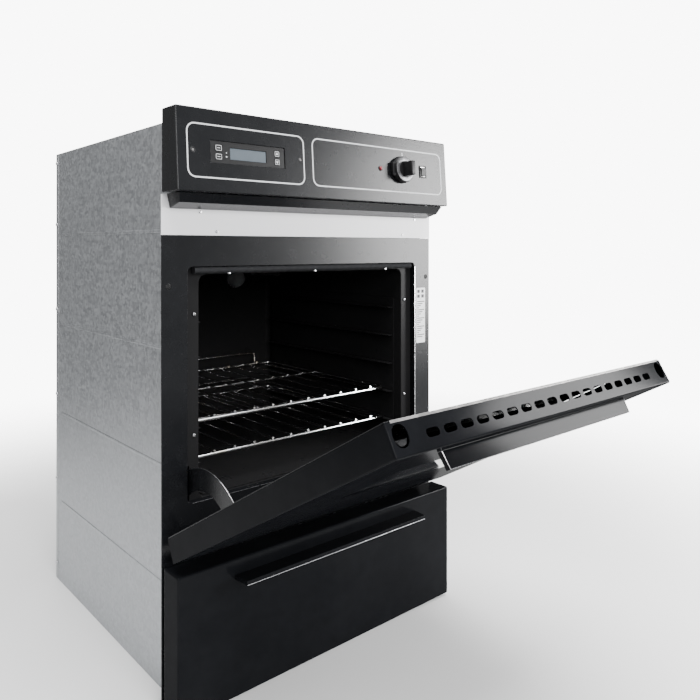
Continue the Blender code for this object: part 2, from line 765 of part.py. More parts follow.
def make_oven_door(case):
    door = Frame("oven_door_hinge", in_row(DOOR_PIVOT), DOOR_PIVOT, math.radians(DOOR_OPEN))
    outer = shell(
        "door_outer_panel",
        door,
        (-DOOR_HALF, DOOR_HALF),
        (DOOR_Y[0], DOOR_Y[1] - SHEET - GAP),
        DOOR_Z,
        [BACK],
        "black_enamel",
        corner=0.1,
        outward=False,
    )
    cutters = [
        block(
            "outer_window_hole",
            door,
            (-DOOR_WINDOW_HALF, DOOR_WINDOW_HALF),
            (DOOR_Y[0] - 0.2, DOOR_Y[0] + 0.2),
            DOOR_WINDOW_Z,
        )
    ]
    for number in range(DOOR_SLOTS):
        middle = (number - (DOOR_SLOTS - 1) / 2) * DOOR_SLOT_PITCH
        wide, deep = DOOR_SLOT_SIZE
        cutters.append(
            plate(
                f"vent_slot_{number}",
                door,
                [
                    rectangle(
                        (middle - wide / 2, middle + wide / 2),
                        (DOOR_SLOT_Y - deep / 2, DOOR_SLOT_Y + deep / 2),
                        0.16,
                        2,
                    )
                ],
                (DOOR_Z[1] - 0.3, DOOR_Z[1] + 0.2),
                plane="flat",
            )
        )
    for side, sign in (("right", 1), ("left", -1)):
        middle = sign * DOOR_CORNER_HOLE_X
        cutters.append(
            plate(
                f"corner_hole_{side}",
                door,
                [rectangle((middle - 0.43, middle + 0.43), (0.3, 1.3), 0.4)],
                (DOOR_Z[1] - 0.3, DOOR_Z[1] + 0.2),
                plane="flat",
            )
        )
    notches = hinge_notches("oven_hinge", door, DOOR_PIVOT, DOOR_Y[1])
    cut(outer, *cutters, *notches)

    glass_half = DOOR_WINDOW_HALF - 0.02
    glass_z = (DOOR_WINDOW_Z[0] + 0.02, DOOR_WINDOW_Z[1] - 0.02)
    glass_x = (-glass_half, glass_half)
    block("door_outer_glass", door, glass_x, (DOOR_Y[0] + 0.01, DOOR_Y[0] + 0.17), glass_z, "dark_glass")
    half = DOOR_HALF - 0.02
    arm_holes = [
        block(f"arm_hole_{side}", door, x, (DOOR_Y[1] - 0.2, DOOR_Y[1] + 0.2), (12.6, 14.56))
        for side, x in both_sides((ARM_X[0] - 0.08, ARM_X[1] + 0.08)).items()
    ]
    inner = plate(
        "door_inner_panel",
        door,
        [
            rectangle((-half, half), (DOOR_Z[0] + 0.02, DOOR_Z[1] - 0.02), 0.15, 2),
            rectangle((-DOOR_WINDOW_HALF, DOOR_WINDOW_HALF), DOOR_WINDOW_Z),
        ],
        (DOOR_Y[1] - SHEET, DOOR_Y[1]),
        "black_enamel",
    )
    cut(inner, *arm_holes, *notches)
    block("door_inner_glass", door, glass_x, (DOOR_Y[1] - 0.16, DOOR_Y[1] - 0.01), glass_z, "dark_glass")
    for side, x in both_sides(ARM_X).items():
        plate(f"hinge_arm_{side}", door, [arm_outline(DOOR_PIVOT)], x, "black_enamel", "side")
    make_handle("door_handle", door, DOOR_Y[0], OVEN_HANDLE_TOP, OVEN_HANDLE_DEPTH)
    hinge_pins("door_hinge_pin", door, DOOR_PIVOT, DOOR_HALF - SHEET - GAP)
    hinge_brackets("door_hinge_bracket", case, DOOR_PIVOT)


def make_broiler_door(case):
    door = Frame("broiler_door_hinge", in_row(BROILER_PIVOT), BROILER_PIVOT)
    outer = shell(
        "broiler_door_panel",
        door,
        (-BROILER_DOOR_HALF, BROILER_DOOR_HALF),
        (BROILER_DOOR_Y[0], BROILER_DOOR_Y[1] - SHEET - GAP),
        BROILER_DOOR_Z,
        [BACK],
        "black_enamel",
        corner=0.12,
        outward=False,
    )
    notches = hinge_notches("broiler_hinge", door, BROILER_PIVOT, BROILER_DOOR_Y[1])
    cut(outer, *notches)
    half = BROILER_DOOR_HALF - 0.02
    inner = block(
        "broiler_door_liner",
        door,
        (-half, half),
        (BROILER_DOOR_Y[1] - SHEET, BROILER_DOOR_Y[1]),
        (BROILER_DOOR_Z[0] + 0.02, BROILER_DOOR_Z[1] - 0.02),
        "black_enamel",
    )
    cut(inner, *notches)
    make_handle("broiler_door_handle", door, BROILER_DOOR_Y[0], BROILER_HANDLE_TOP, BROILER_HANDLE_DEPTH)
    hinge_pins("broiler_hinge_pin", door, BROILER_PIVOT, BROILER_DOOR_HALF - SHEET - GAP)
    hinge_brackets("broiler_hinge_bracket", case, BROILER_PIVOT)


# ---------------------------------------------------------------- control panel


def lean_back(bm, frame):
    """Moves a box's top front edge back, so that its front face leans."""
    top = frame.local((0, 0, (PANEL_Z[0] + PANEL_Z[1]) / 2)).z
    front = frame.local((0, PANEL_BACK / 2, 0)).y
    for vert in bm.verts:
        if vert.co.z > top and vert.co.y < front:
            vert.co.y += PANEL_SETBACK * IN


def make_panel_plate(case, controls):
    bm = cube_between(
        case, (-FRONT_HALF, 0.0, PANEL_Z[0]), (FRONT_HALF, PANEL_BACK - SHEET, PANEL_Z[1])
    )
    bm.normal_update()
    bmesh.ops.delete(bm, geom=[f for f in bm.faces if f.normal.y > 0.9], context="FACES")
    lean_back(bm, case)
    folds = [edge for edge in bm.edges if len(edge.link_faces) == 2]
    bmesh.ops.bevel(bm, geom=folds, offset=0.09 * IN, segments=2, profile=0.5, affect="EDGES")
    mesh = bpy.data.meshes.new("control_panel")
    bm.to_mesh(mesh)
    bm.free()
    panel = add_object("control_panel", case, mesh, "black_enamel")
    wall = panel.modifiers.new("sheet", "SOLIDIFY")
    wall.thickness = SHEET * IN
    wall.offset = -1.0
    wall.use_even_offset = True

    through = (-0.3, 0.3)
    clock_up = [up_panel(height) for height in CLOCK_HEIGHTS]
    switch_up = up_panel(SWITCH[1])
    knob_up = up_panel(KNOB[1])
    indicator_up = up_panel(INDICATOR[1])
    wide, tall = (size / 2 + 0.03 for size in SWITCH_SIZE)
    cut(
        panel,
        block(
            "clock_hole",
            controls,
            (CLOCK_X[0] - GAP, CLOCK_X[1] + GAP),
            through,
            (clock_up[0] - GAP, clock_up[1] + GAP),
        ),
        block(
            "switch_hole",
            controls,
            (SWITCH[0] - wide, SWITCH[0] + wide),
            through,
            (switch_up - tall, switch_up + tall),
        ),
        *[
            rod(name, controls, (x, through[0], up), (x, through[1], up), radius)
            for name, x, up, radius in (
                ("shaft_hole", KNOB[0], knob_up, 0.25),
                ("indicator_hole", INDICATOR[0], indicator_up, 0.19),
            )
        ],
    )


def make_vent_trim(case):
    """The sloping trim under the panel: a tray that is open above and behind."""
    top, low, back = PANEL_Z[0] - 0.06, 30.76, 30.44
    bm = cube_between(case, (-11.7, 0.4, low), (11.7, 1.99, top))
    bm.normal_update()
    gone = [f for f in bm.faces if f.normal.y > 0.9 or f.normal.z > 0.9]
    bmesh.ops.delete(bm, geom=gone, context="FACES")
    middle_z = case.local((0, 0, (low + top) / 2)).z
    middle_y = case.local((0, 1.2, 0)).y
    for vert in bm.verts:
        if vert.co.z > middle_z:
            continue
        vert.co.x *= 11.5 / 11.7
        if vert.co.y < middle_y:
            vert.co.y += 0.35 * IN
        else:
            vert.co.z += (back - low) * IN
    mesh = bpy.data.meshes.new("vent_trim")
    bm.to_mesh(mesh)
    bm.free()
    trim = add_object("vent_trim", case, mesh, "black_enamel")
    wall = trim.modifiers.new("sheet", "SOLIDIFY")
    wall.thickness = SHEET * IN
    wall.offset = -1.0
    wall.use_even_offset = True


def make_clock(controls):
    low, high = (up_panel(height) for height in CLOCK_HEIGHTS)
    window = [up_panel(height) for height in WINDOW_HEIGHTS]
    holes = [rectangle(WINDOW_X, window)]
    for column, (x, wide) in BUTTON_COLUMNS.items():
        for row, height in BUTTON_ROWS.items():
            up = up_panel(height)
            half_x, half_z = wide / 2, BUTTON_HEIGHT / 2
            holes.append(rectangle((x - half_x, x + half_x), (up - half_z, up + half_z), 0.06, 2))
            place = (x * IN, 0, up * IN)
            key = Frame(f"clock_key_{column}_{row}_slide", place, (0, 0, 0), parent=controls)
            inset = 0.02
            block(
                f"clock_key_{column}_{row}",
                key,
                (inset - half_x, half_x - inset),
                (0.03, 0.2),
                (inset - half_z, half_z - inset),
                "black_plastic",
                edge=0.03,
            )
    outline = rectangle(CLOCK_X, (low, high))
    plate("clock_bezel", controls, [outline, *holes], (0.05, 0.13), "black_plastic")
    block(
        "clock_window",
        controls,
        (WINDOW_X[0] + GAP, WINDOW_X[1] - GAP),
        (0.08, 0.22),
        (window[0] + GAP, window[1] - GAP),
        "display",
    )
    x = (CLOCK_X[0] + 0.1, CLOCK_X[1] - 0.1)
    block("clock_module", controls, x, (0.26, 1.3), (low - 0.2, high + 0.2), "black_plastic", edge=0.08)


def make_knob(controls):
    up = up_panel(KNOB[1])
    spin = Frame("thermostat_knob_axis", (KNOB[0] * IN, 0, up * IN), (0, 0, 0), parent=controls)
    back, front = ((0, depth, 0) for depth in KNOB_DEPTHS)
    skirt = rod("knob_skirt", spin, back, front, KNOB_RADIUS, "black_plastic", 32, KNOB_RADIUS - 0.09)
    shaft = rod("knob_shaft", spin, (0, -0.2, 0), (0, 0.85, 0), 0.12)
    tab = block("knob_tab", spin, (-1.17, -0.8), (-0.32, -0.07), (-0.5, 0.5))
    join(skirt, shaft, tab)
    wide, tall = GRIP_HALF
    block("knob_grip", spin, (-wide, wide), GRIP_DEPTHS, (-tall, tall), "black_plastic", edge=0.08)
    block("thermostat_body", controls, (5.65, 7.95), (0.9, 1.85), (up - 1.1, up + 1.2), "steel", edge=0.1)


def make_switch_and_light(controls):
    x, up = SWITCH[0], up_panel(SWITCH[1])
    wide, tall = (size / 2 for size in SWITCH_SIZE)
    rim, gap = 0.12, 0.02
    plate(
        "switch_bezel",
        controls,
        [
            rectangle((x - wide - rim, x + wide + rim), (up - tall - rim, up + tall + rim), 0.08, 2),
            rectangle((x - wide - gap, x + wide + gap), (up - tall - gap, up + tall + gap)),
        ],
        (-0.07, -0.015),
        "black_plastic",
    )
    place = (x * IN, 0.06 * IN, up * IN)
    rock = Frame("light_switch_axis", place, (0, 0, 0), math.radians(ROCKER_TILT), parent=controls)
    z = (0.03 - tall, tall - 0.03)
    block("light_rocker", rock, (-wide, wide), (-0.2, 0.2), z, "black_plastic", edge=0.04)
    x, up = INDICATOR[0], up_panel(INDICATOR[1])
    rod("indicator_lens", controls, (x, -0.07, up), (x, 0.5, up), 0.165, "red_lens")


# ---------------------------------------------------------------- build

clear_scene()
PARTS = new_collection("wall_oven")
CUTTERS = new_collection("cutters")
cabinet = Frame("cabinet", (0, 0, 0), ORIGIN)
panel_front = Frame("panel_front", in_row((0, 0, PANEL_Z[0])), (0, 0, 0), -PANEL_LEAN)

make_case(cabinet)
make_front_frame(cabinet)
make_liner(cabinet)
make_oven_floor(cabinet)
make_guides(cabinet)
make_rack("upper_rack", RACK_LEVELS[1] + 0.1)
make_rack("lower_rack", RACK_LEVELS[0])
make_gasket(cabinet)
make_lamp_and_bulb(cabinet)
make_insulation(cabinet)
make_burner(cabinet)
make_broiler(cabinet)
make_pan(cabinet)
make_oven_door(cabinet)
make_broiler_door(cabinet)
make_panel_plate(cabinet, panel_front)
make_vent_trim(cabinet)
make_clock(panel_front)
make_knob(panel_front)
make_switch_and_light(panel_front)
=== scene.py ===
import json
import math

import bmesh
import bpy
from bpy.props import FloatProperty, FloatVectorProperty, IntProperty, PointerProperty
from mathutils import Matrix, Vector

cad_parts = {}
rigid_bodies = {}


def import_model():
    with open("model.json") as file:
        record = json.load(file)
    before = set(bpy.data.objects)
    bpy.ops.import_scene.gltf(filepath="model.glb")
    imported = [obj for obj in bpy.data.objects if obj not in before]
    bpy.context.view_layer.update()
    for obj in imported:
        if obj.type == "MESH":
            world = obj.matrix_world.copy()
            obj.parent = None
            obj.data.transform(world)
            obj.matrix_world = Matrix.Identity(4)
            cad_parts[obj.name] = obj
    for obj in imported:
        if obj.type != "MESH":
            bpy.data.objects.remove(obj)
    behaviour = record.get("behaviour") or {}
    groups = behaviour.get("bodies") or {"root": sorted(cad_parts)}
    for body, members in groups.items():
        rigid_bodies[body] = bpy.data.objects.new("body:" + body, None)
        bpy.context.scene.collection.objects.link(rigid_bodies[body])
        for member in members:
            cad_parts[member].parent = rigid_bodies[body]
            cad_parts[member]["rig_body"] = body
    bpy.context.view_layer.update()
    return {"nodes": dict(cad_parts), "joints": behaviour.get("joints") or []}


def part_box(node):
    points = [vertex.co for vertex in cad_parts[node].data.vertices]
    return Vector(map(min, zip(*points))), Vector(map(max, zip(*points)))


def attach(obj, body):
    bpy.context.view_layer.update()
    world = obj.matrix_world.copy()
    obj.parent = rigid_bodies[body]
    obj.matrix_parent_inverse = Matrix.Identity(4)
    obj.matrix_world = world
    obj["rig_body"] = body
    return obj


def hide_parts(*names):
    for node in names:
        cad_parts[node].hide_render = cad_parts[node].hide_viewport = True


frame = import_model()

bl_info = {
    "name": "Wall Oven",
    "version": (1, 0, 0),
    "blender": (4, 5, 0),
    "location": "View3D > Sidebar > Wall Oven",
    "description": "Builds a 24 inch built-in gas oven with a broiler below, its oven door part open",
    "category": "Add Mesh",
}

IN = 0.0254

# The oven's own lengths, in inches: x from its middle, y behind the broiler door's face,
# z above the broiler door's bottom edge.
DOOR_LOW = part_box("broiler_door_panel")[0]
FACE_Y = DOOR_LOW.y
FLOOR_Z = DOOR_LOW.z

JOINTS = {joint["name"]: joint for joint in frame["joints"]}
FRONT = Vector((0, -1, 0))
BACK = Vector((0, 1, 0))
RIGHT = Vector((1, 0, 0))
UP = Vector((0, 0, 1))


def at(x, y, z):
    """A point in the oven's lengths, as metres in the frame."""
    return Vector((x * IN, FACE_Y + y * IN, FLOOR_Z + z * IN))


def inches(point):
    """A point of the frame in the oven's lengths."""
    return Vector((point.x, point.y - FACE_Y, point.z - FLOOR_Z)) / IN


def box_inches(node):
    low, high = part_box(node)
    return inches(low), inches(high)


OVEN = Matrix.Translation(at(0, 0, 0)) @ Matrix.Scale(IN, 4)

# The leaning panel: x across, y into the oven, z up the panel from its lower front edge.
PANEL_IN = Vector(JOINTS["thermostat_knob_turn"]["axis"])
PANEL_UP = RIGHT.cross(PANEL_IN)
PANEL_FOOT = box_inches("control_panel")[0].z
PANEL = (
    Matrix.Translation(at(0, 0, PANEL_FOOT))
    @ Matrix((RIGHT, PANEL_IN, PANEL_UP)).transposed().to_4x4()
    @ Matrix.Scale(IN, 4)
)
PANEL_COS = PANEL_UP.z

# The oven door: pieces are made for the closed door and turned to where it stands.
DOOR_AXIS = Vector(JOINTS["oven_door_hinge"]["pos_m"])
DOOR_OPEN = math.radians(-JOINTS["oven_door_hinge"]["range_deg"][0])
DOOR = (
    Matrix.Translation(DOOR_AXIS)
    @ Matrix.Rotation(DOOR_OPEN, 4, "X")
    @ Matrix.Translation(-DOOR_AXIS)
    @ OVEN
)
DOOR_PIVOT = inches(DOOR_AXIS)

# The painted highlight along part of the hinge arms' curved edge: how far it stands from the middle and from
# the hinge, and its ends.
ARM_X = 10.05
ARM_REACH = 4.85
ARM_ANGLES = (4.0, 129.0)

# The thermostat: where its shaft stands on the panel, and how far its grip stands out.
KNOB = (6.8, 33.97)
GRIP_OUT = 1.33

# The clock keys' front face, into the panel.
KEY_FACE = 0.0265

# The oven's mouth, inside the front frame's lip.
MOUTH = (Vector((-10.27, 0, 12.0)), Vector((10.27, 0, 26.84)))


def up_panel(height):
    """How far up the leaning panel a point of this height lies."""
    return (height - PANEL_FOOT) / PANEL_COS


# ---------------------------------------------------------------- shader expressions


class Socket:
    """A shader value. Arithmetic on it adds Math nodes."""

    def __init__(self, maker, socket):
        self.maker = maker
        self.socket = socket

    def math(self, operation, *values):
        return self.maker.node("ShaderNodeMath", {"operation": operation}, self, *values)[0]

    def __add__(self, other):
        return self.math("ADD", other)

    def __sub__(self, other):
        return self.math("SUBTRACT", other)

    def __mul__(self, other):
        return self.math("MULTIPLY", other)

    def __rsub__(self, other):
        return self.maker.node("ShaderNodeMath", {"operation": "SUBTRACT"}, other, self)[0]

    __radd__ = __add__
    __rmul__ = __mul__

    def between(self, low, high):
        """Rises smoothly from 0 at low to 1 at high."""
        settings = {"interpolation_type": "SMOOTHSTEP"}
        return self.maker.node("ShaderNodeMapRange", settings, self, low, high, 0.0, 1.0)[0]


class Maker:
    """Builds one node tree."""

    def __init__(self, tree):
        self.tree = tree

    def node(self, kind, settings=None, *values, **named):
        """Adds a node. values fill its sockets in order, and named ones by name. Returns its outputs."""
        made = self.tree.nodes.new(kind)
        for key, value in (settings or {}).items():
            setattr(made, key, value)
        usable = [socket for socket in made.inputs if socket.enabled]
        for socket, value in zip(usable, values):
            self.fill(socket, value)
        for name, value in named.items():
            self.fill(made.inputs[name.replace("_", " ").title()], value)
        return [Socket(self, socket) for socket in made.outputs if socket.enabled]

    def fill(self, socket, value):
        if isinstance(value, Socket):
            self.tree.links.new(value.socket, socket)
        elif value is not None:
            socket.default_value = value

    def coordinates(self):
        return self.node("ShaderNodeTexCoord")[3]

    def stretched(self, vector, scale):
        """The coordinates scaled differently along x, y and z."""
        return self.node("ShaderNodeMapping", {}, vector, Scale=scale)[0]

    def noise(self, vector, scale, detail=3.0, roughness=0.55):
        return self.node(
            "ShaderNodeTexNoise", {}, vector, scale=scale, detail=detail, roughness=roughness
        )[0]

    def cells(self, vector, scale):
        return self.node("ShaderNodeTexVoronoi", {}, vector, scale=scale)

    def mix(self, factor, first, second):
        return self.node(
            "ShaderNodeMix", {"data_type": "RGBA"}, factor, rgba(first), rgba(second)
        )[0]

    def bump(self, height, depth):
        return self.node("ShaderNodeBump", {}, strength=1.0, distance=depth, height=height)[0]


def rgba(colour):
    if isinstance(colour, Socket):
        return colour
    return (*colour[:3], 1.0)


FINISHES = {}
MATERIALS = {}


def finish(slot):
    """Registers a function that paints a finish, with the record slot it belongs to."""

    def register_finish(paint):
        FINISHES[paint.__name__] = (paint, slot)
        return paint

    return register_finish


def material(name):
    """The material of a finish, made the first time it is asked for."""
    if name in MATERIALS:
        return MATERIALS[name]
    made = MATERIALS[name] = bpy.data.materials.new(name)
    made.use_nodes = True
    shader = made.node_tree.nodes["Principled BSDF"]
    maker = Maker(made.node_tree)
    for key, value in FINISHES[name][0](maker, maker.coordinates()).items():
        maker.fill(shader.inputs[key], value)
    return made


def settings():
    return bpy.context.scene.wall_oven


# ---------------------------------------------------------------- finishes


def enamel(maker, place, colour, roughness, peel, gloss):
    """Sprayed enamel: a faint mottle and a little orange peel."""
    mottle = maker.noise(place, 9.0, 4.0)
    cloud = maker.noise(place, 55.0, 3.0)
    peel_height = maker.noise(place, 1400.0, 2.0)
    lighter = [min(1.0, value * 1.25 + 0.001) for value in colour]
    return {
        "Base Color": maker.mix((mottle * 0.7 + cloud * 0.3).between(0.35, 0.7), colour, lighter),
        "Roughness": roughness + (cloud - 0.5) * 0.03,
        "Specular IOR Level": gloss,
        "Normal": maker.bump(peel_height, peel),
    }


@finish("black_enamel")
def black_enamel(maker, place):
    return enamel(maker, place, settings().enamel, 0.27, 0.000006, 0.25)


@finish("black_enamel")
def gloss_enamel(maker, place):
    """The glossier enamel of the two door fronts."""
    made = enamel(maker, place, settings().enamel, 0.3, 0.000004, 0.0)
    made["Coat Weight"] = 0.1
    made["Coat Roughness"] = 0.13
    return made


@finish("white_enamel")
def white_enamel(maker, place):
    made = enamel(maker, place, settings().rail, 0.38, 0.00002, 0.5)
    grime = maker.noise(maker.stretched(place, (6.0, 6.0, 40.0)), 3.0).between(0.55, 0.85)
    made["Base Color"] = maker.mix(grime, settings().rail, (0.88, 0.88, 0.89))
    return made


@finish("cavity_enamel")
def cavity_enamel(maker, place):
    """Porcelain fired on steel: deep gloss, fine pale flecks, soft waves."""
    flecks = maker.cells(place, 260.0)[0].between(0.12, 0.04)
    waves = maker.noise(place, 22.0, 3.0)
    return {
        "Base Color": maker.mix(flecks * 0.5, (0.014, 0.014, 0.0145), (0.06, 0.06, 0.064)),
        "Roughness": 0.24 + waves * 0.1,
        "Specular IOR Level": 0.03,
        "Normal": maker.bump(waves + flecks * 0.05, 0.0004),
    }


@finish("galvanised")
def galvanised(maker, place):
    """Zinc spangle: small crystals that differ in shade and gloss."""
    crystals = maker.cells(place, 170.0)
    shade = maker.node("ShaderNodeSeparateColor", {}, crystals[1])[0]
    streaks = maker.noise(maker.stretched(place, (4.0, 4.0, 60.0)), 4.0)
    return {
        "Base Color": maker.mix(shade * 0.65 + streaks * 0.35, (0.3, 0.31, 0.325), (0.46, 0.475, 0.49)),
        "Metallic": 0.92,
        "Roughness": 0.42 + shade * 0.14,
        "Normal": maker.bump(shade, 0.00002),
    }


@finish("chrome")
def chrome_wire(maker, place):
    """Bright plated wire with faint heat tint and drawing marks."""
    tint = maker.noise(place, 14.0, 3.0).between(0.45, 0.8)
    marks = maker.noise(place, 700.0, 2.0)
    return {
        "Base Color": maker.mix(tint, (0.78, 0.785, 0.8), (0.62, 0.56, 0.46)),
        "Metallic": 1.0,
        "Roughness": 0.13 + marks * 0.1,
        "Normal": maker.bump(marks, 0.00001),
    }


@finish("steel")
def bright_steel_and_painted_highlight(maker, place):
    """Plated screws and clips. The same bright steel also makes the thin strips and wires on black edges that
    are painted highlights.
    """
    marks = maker.noise(place, 520.0, 3.0)
    return {
        "Base Color": maker.mix(marks, (0.5, 0.5, 0.52), (0.72, 0.72, 0.74)),
        "Metallic": 1.0,
        "Roughness": 0.2 + marks * 0.15,
    }


@finish("steel")
def dull_steel_and_painted_highlight(maker, place):
    """Plain mild steel, greyed by heat; also the strip on the oven door's top edge, which is a painted
    highlight.
    """
    scale_marks = maker.noise(place, 60.0, 5.0)
    return {
        "Base Color": maker.mix(scale_marks.between(0.35, 0.7), (0.19, 0.185, 0.185), (0.36, 0.35, 0.34)),
        "Metallic": 0.85,
        "Roughness": 0.42 + scale_marks * 0.25,
        "Normal": maker.bump(scale_marks, 0.00005),
    }


@finish("brass")
def brass(maker, place):
    tarnish = maker.noise(place, 45.0, 4.0)
    return {
        "Base Color": maker.mix(tarnish.between(0.4, 0.75), (0.62, 0.45, 0.18), (0.34, 0.22, 0.09)),
        "Metallic": 1.0,
        "Roughness": 0.25 + tarnish * 0.25,
    }


@finish("ceramic")
def ceramic(maker, place):
    pores = maker.noise(place, 240.0, 4.0)
    return {
        "Base Color": maker.mix(pores.between(0.4, 0.7), (0.74, 0.72, 0.67), (0.6, 0.57, 0.5)),
        "Roughness": 0.55 + pores * 0.2,
        "Normal": maker.bump(pores, 0.0001),
    }


@finish("fibreglass")
def fibreglass(maker, place):
    """A yellow blanket of matted strands."""
    strands = maker.noise(maker.stretched(place, (1.0, 5.0, 1.0)), 160.0, 6.0, 0.75)
    clumps = maker.noise(place, 24.0, 4.0)
    return {
        "Base Color": maker.mix(strands * 0.6 + clumps * 0.4, (0.5, 0.41, 0.17), (0.85, 0.78, 0.5)),
        "Roughness": 0.95,
        "Normal": maker.bump(strands + clumps, 0.002),
    }


@finish("gasket")
def gasket_weave(maker, place):
    """A braided glass-fibre seal, greyed and greasy."""
    twist = {"wave_type": "BANDS", "bands_direction": "DIAGONAL"}
    braid = maker.node("ShaderNodeTexWave", twist, place, scale=260.0, distortion=1.5)[1]
    return {
        "Base Color": maker.mix(braid, (0.007, 0.007, 0.008), (0.03, 0.031, 0.033)),
        "Roughness": 0.6 + braid * 0.2,
        "Specular IOR Level": 0.08,
        "Normal": maker.bump(braid, 0.0003),
    }


@finish("black_plastic")
def black_plastic(maker, place):
    """Moulded plastic with a fine spark-eroded grain."""
    grain = maker.noise(place, 2600.0, 2.0)
    worn = maker.noise(place, 80.0, 3.0)
    return {
        "Base Color": maker.mix(worn, (0.006, 0.006, 0.0066), (0.012, 0.012, 0.013)),
        "Roughness": 0.34 + worn * 0.14,
        "Specular IOR Level": 0.22,
        "Normal": maker.bump(grain, 0.00003),
    }


@finish("black_plastic")
def silver_dial(maker, place):
    """Spun silver paint on the thermostat's dial ring."""
    grain = maker.noise(place, 900.0, 3.0)
    return {
        "Base Color": maker.mix(grain, (0.1, 0.1, 0.104), (0.24, 0.24, 0.25)),
        "Metallic": 0.6,
        "Roughness": 0.34 + grain * 0.12,
    }


@finish("black_plastic")
def grip_end(maker, place):
    """The rubbed, greyer face of the knob's grip."""
    rub = maker.noise(place, 160.0, 4.0)
    return {
        "Base Color": maker.mix(rub, (0.09, 0.092, 0.096), (0.17, 0.172, 0.178)),
        "Roughness": 0.34 + rub * 0.15,
    }


@finish("white_enamel")
def pale_print(maker, place):
    """Silk-screened ink, thin enough to let a little of the enamel through."""
    thin = maker.noise(place, 500.0, 3.0)
    return {
        "Base Color": maker.mix(thin.between(0.55, 0.8), settings().print_ink, (0.36, 0.37, 0.38)),
        "Roughness": 0.5 + thin * 0.1,
    }


@finish("black_plastic")
def dark_print(maker, place):
    thin = maker.noise(place, 500.0, 3.0)
    return {
        "Base Color": maker.mix(thin.between(0.4, 0.8), (0.02, 0.02, 0.022), (0.06, 0.06, 0.065)),
        "Roughness": 0.55 + thin * 0.1,
    }


@finish("display")
def display(maker, place):
    """An unlit display behind a hazy window: fine ruling and a slow fade."""
    haze = maker.noise(place, 35.0, 2.0)
    ruling = {"wave_type": "BANDS", "bands_direction": "Z"}
    lines = maker.node("ShaderNodeTexWave", ruling, place, scale=900.0)[1]
    return {
        "Base Color": maker.mix(haze * 0.8 + lines * 0.12, (0.07, 0.085, 0.1), (0.11, 0.13, 0.148)),
        "Roughness": 0.22 + haze * 0.05,
        "Specular IOR Level": 0.3,
    }


@finish("red_lens")
def red_lens(maker, place):
    """A ribbed red lamp cover."""
    ribs = maker.node("ShaderNodeTexWave", {"bands_direction": "X"}, place, scale=700.0)[1]
    return {
        "Base Color": maker.mix(ribs, (0.12, 0.002, 0.008), (0.24, 0.008, 0.02)),
        "Roughness": 0.14 + ribs * 0.08,
        "Coat Weight": 0.3,
    }


@finish("dark_glass")
def dark_glass(maker, place):
    """Tinted oven-door glass, printed black behind, with a breath of haze."""
    haze = maker.noise(place, 12.0, 3.0)
    return {
        "Base Color": maker.mix(haze, (0.004, 0.004, 0.005), (0.011, 0.012, 0.013)),
        "Roughness": 0.035 + haze.between(0.5, 0.9) * 0.05,
        "Coat Weight": 0.3,
    }


@finish("lamp_glass")
def lamp_glass(maker, place):
    """A ribbed clear cover."""
    ribs = maker.node("ShaderNodeTexWave", {"bands_direction": "Z"}, place, scale=300.0)[1]
    return {
        "Base Color": maker.mix(ribs, (0.6, 0.63, 0.65), (0.8, 0.83, 0.85)),
        "Roughness": 0.07 + ribs * 0.08,
        "Alpha": 0.32 + ribs * 0.18,
        "Normal": maker.bump(ribs, 0.0004),
    }


@finish("white_enamel")
def label_film(maker, place):
    """A printed film label."""
    scuff = maker.noise(place, 120.0, 4.0)
    return {
        "Base Color": maker.mix(scuff.between(0.5, 0.85), (0.78, 0.79, 0.8), (0.6, 0.61, 0.62)),
        "Roughness": 0.3 + scuff * 0.15,
    }


# ---------------------------------------------------------------- mesh helpers


def cube(low, high):
    """A box between two corners."""
    low, high = Vector(low), Vector(high)
    bm = bmesh.new()
    bmesh.ops.create_cube(bm, size=1.0)
    bmesh.ops.scale(bm, vec=high - low, verts=bm.verts)
    bmesh.ops.translate(bm, vec=(low + high) / 2, verts=bm.verts)
    return bm


def rounded(bm, offset, segments, edges=None):
    """Rounds edges, or all of them."""
    bmesh.ops.bevel(
        bm,
        geom=list(edges if edges is not None else bm.edges),
        offset=offset,
        offset_type="OFFSET",
        segments=segments,
        profile=0.5,
        affect="EDGES",
        material=-1,
        clamp_overlap=True,
    )
    return bm


def soft_cube(low, high, offset, segments=3):
    return rounded(cube(low, high), offset, segments)


def turned(profile, segments):
    """A shape turned about Z from (radius, height) points. Ends at radius 0 close it."""
    bm = bmesh.new()
    verts = [bm.verts.new((radius, 0, height)) for radius, height in profile]
    edges = [bm.edges.new(pair) for pair in zip(verts, verts[1:])]
    bmesh.ops.spin(
        bm,
        geom=verts + edges,
        cent=(0, 0, 0),
        axis=(0, 0, 1),
        angle=2 * math.pi,
        steps=segments,
        use_merge=True,
    )
    bmesh.ops.remove_doubles(bm, verts=bm.verts, dist=1e-5)
    bmesh.ops.recalc_face_normals(bm, faces=bm.faces)
    return bm


def facing(point, normal, turn=0.0):
    """Puts a shape's Z along normal at a point in metres, with its lengths in inches."""
    track = Vector(normal).to_track_quat("Z", "Y").to_matrix().to_4x4()
    return Matrix.Translation(point) @ track @ Matrix.Rotation(turn, 4, "Z") @ Matrix.Scale(IN, 4)


def round_rect(x, z, corner):
    """A flat rounded rectangle in the XZ plane, facing -Y."""
    bm = bmesh.new()
    bmesh.ops.create_grid(bm, x_segments=1, y_segments=1, size=0.5)
    bmesh.ops.rotate(bm, cent=(0, 0, 0), matrix=Matrix.Rotation(math.pi / 2, 3, "X"), verts=bm.verts)
    bmesh.ops.scale(bm, vec=(x[1] - x[0], 1, z[1] - z[0]), verts=bm.verts)
    bmesh.ops.translate(bm, vec=((x[0] + x[1]) / 2, 0, (z[0] + z[1]) / 2), verts=bm.verts)
    if corner:
        bmesh.ops.bevel(
            bm,
            geom=bm.verts[:],
            offset=corner,
            segments=6,
            profile=0.5,
            affect="VERTICES",
            material=-1,
        )
    return bm


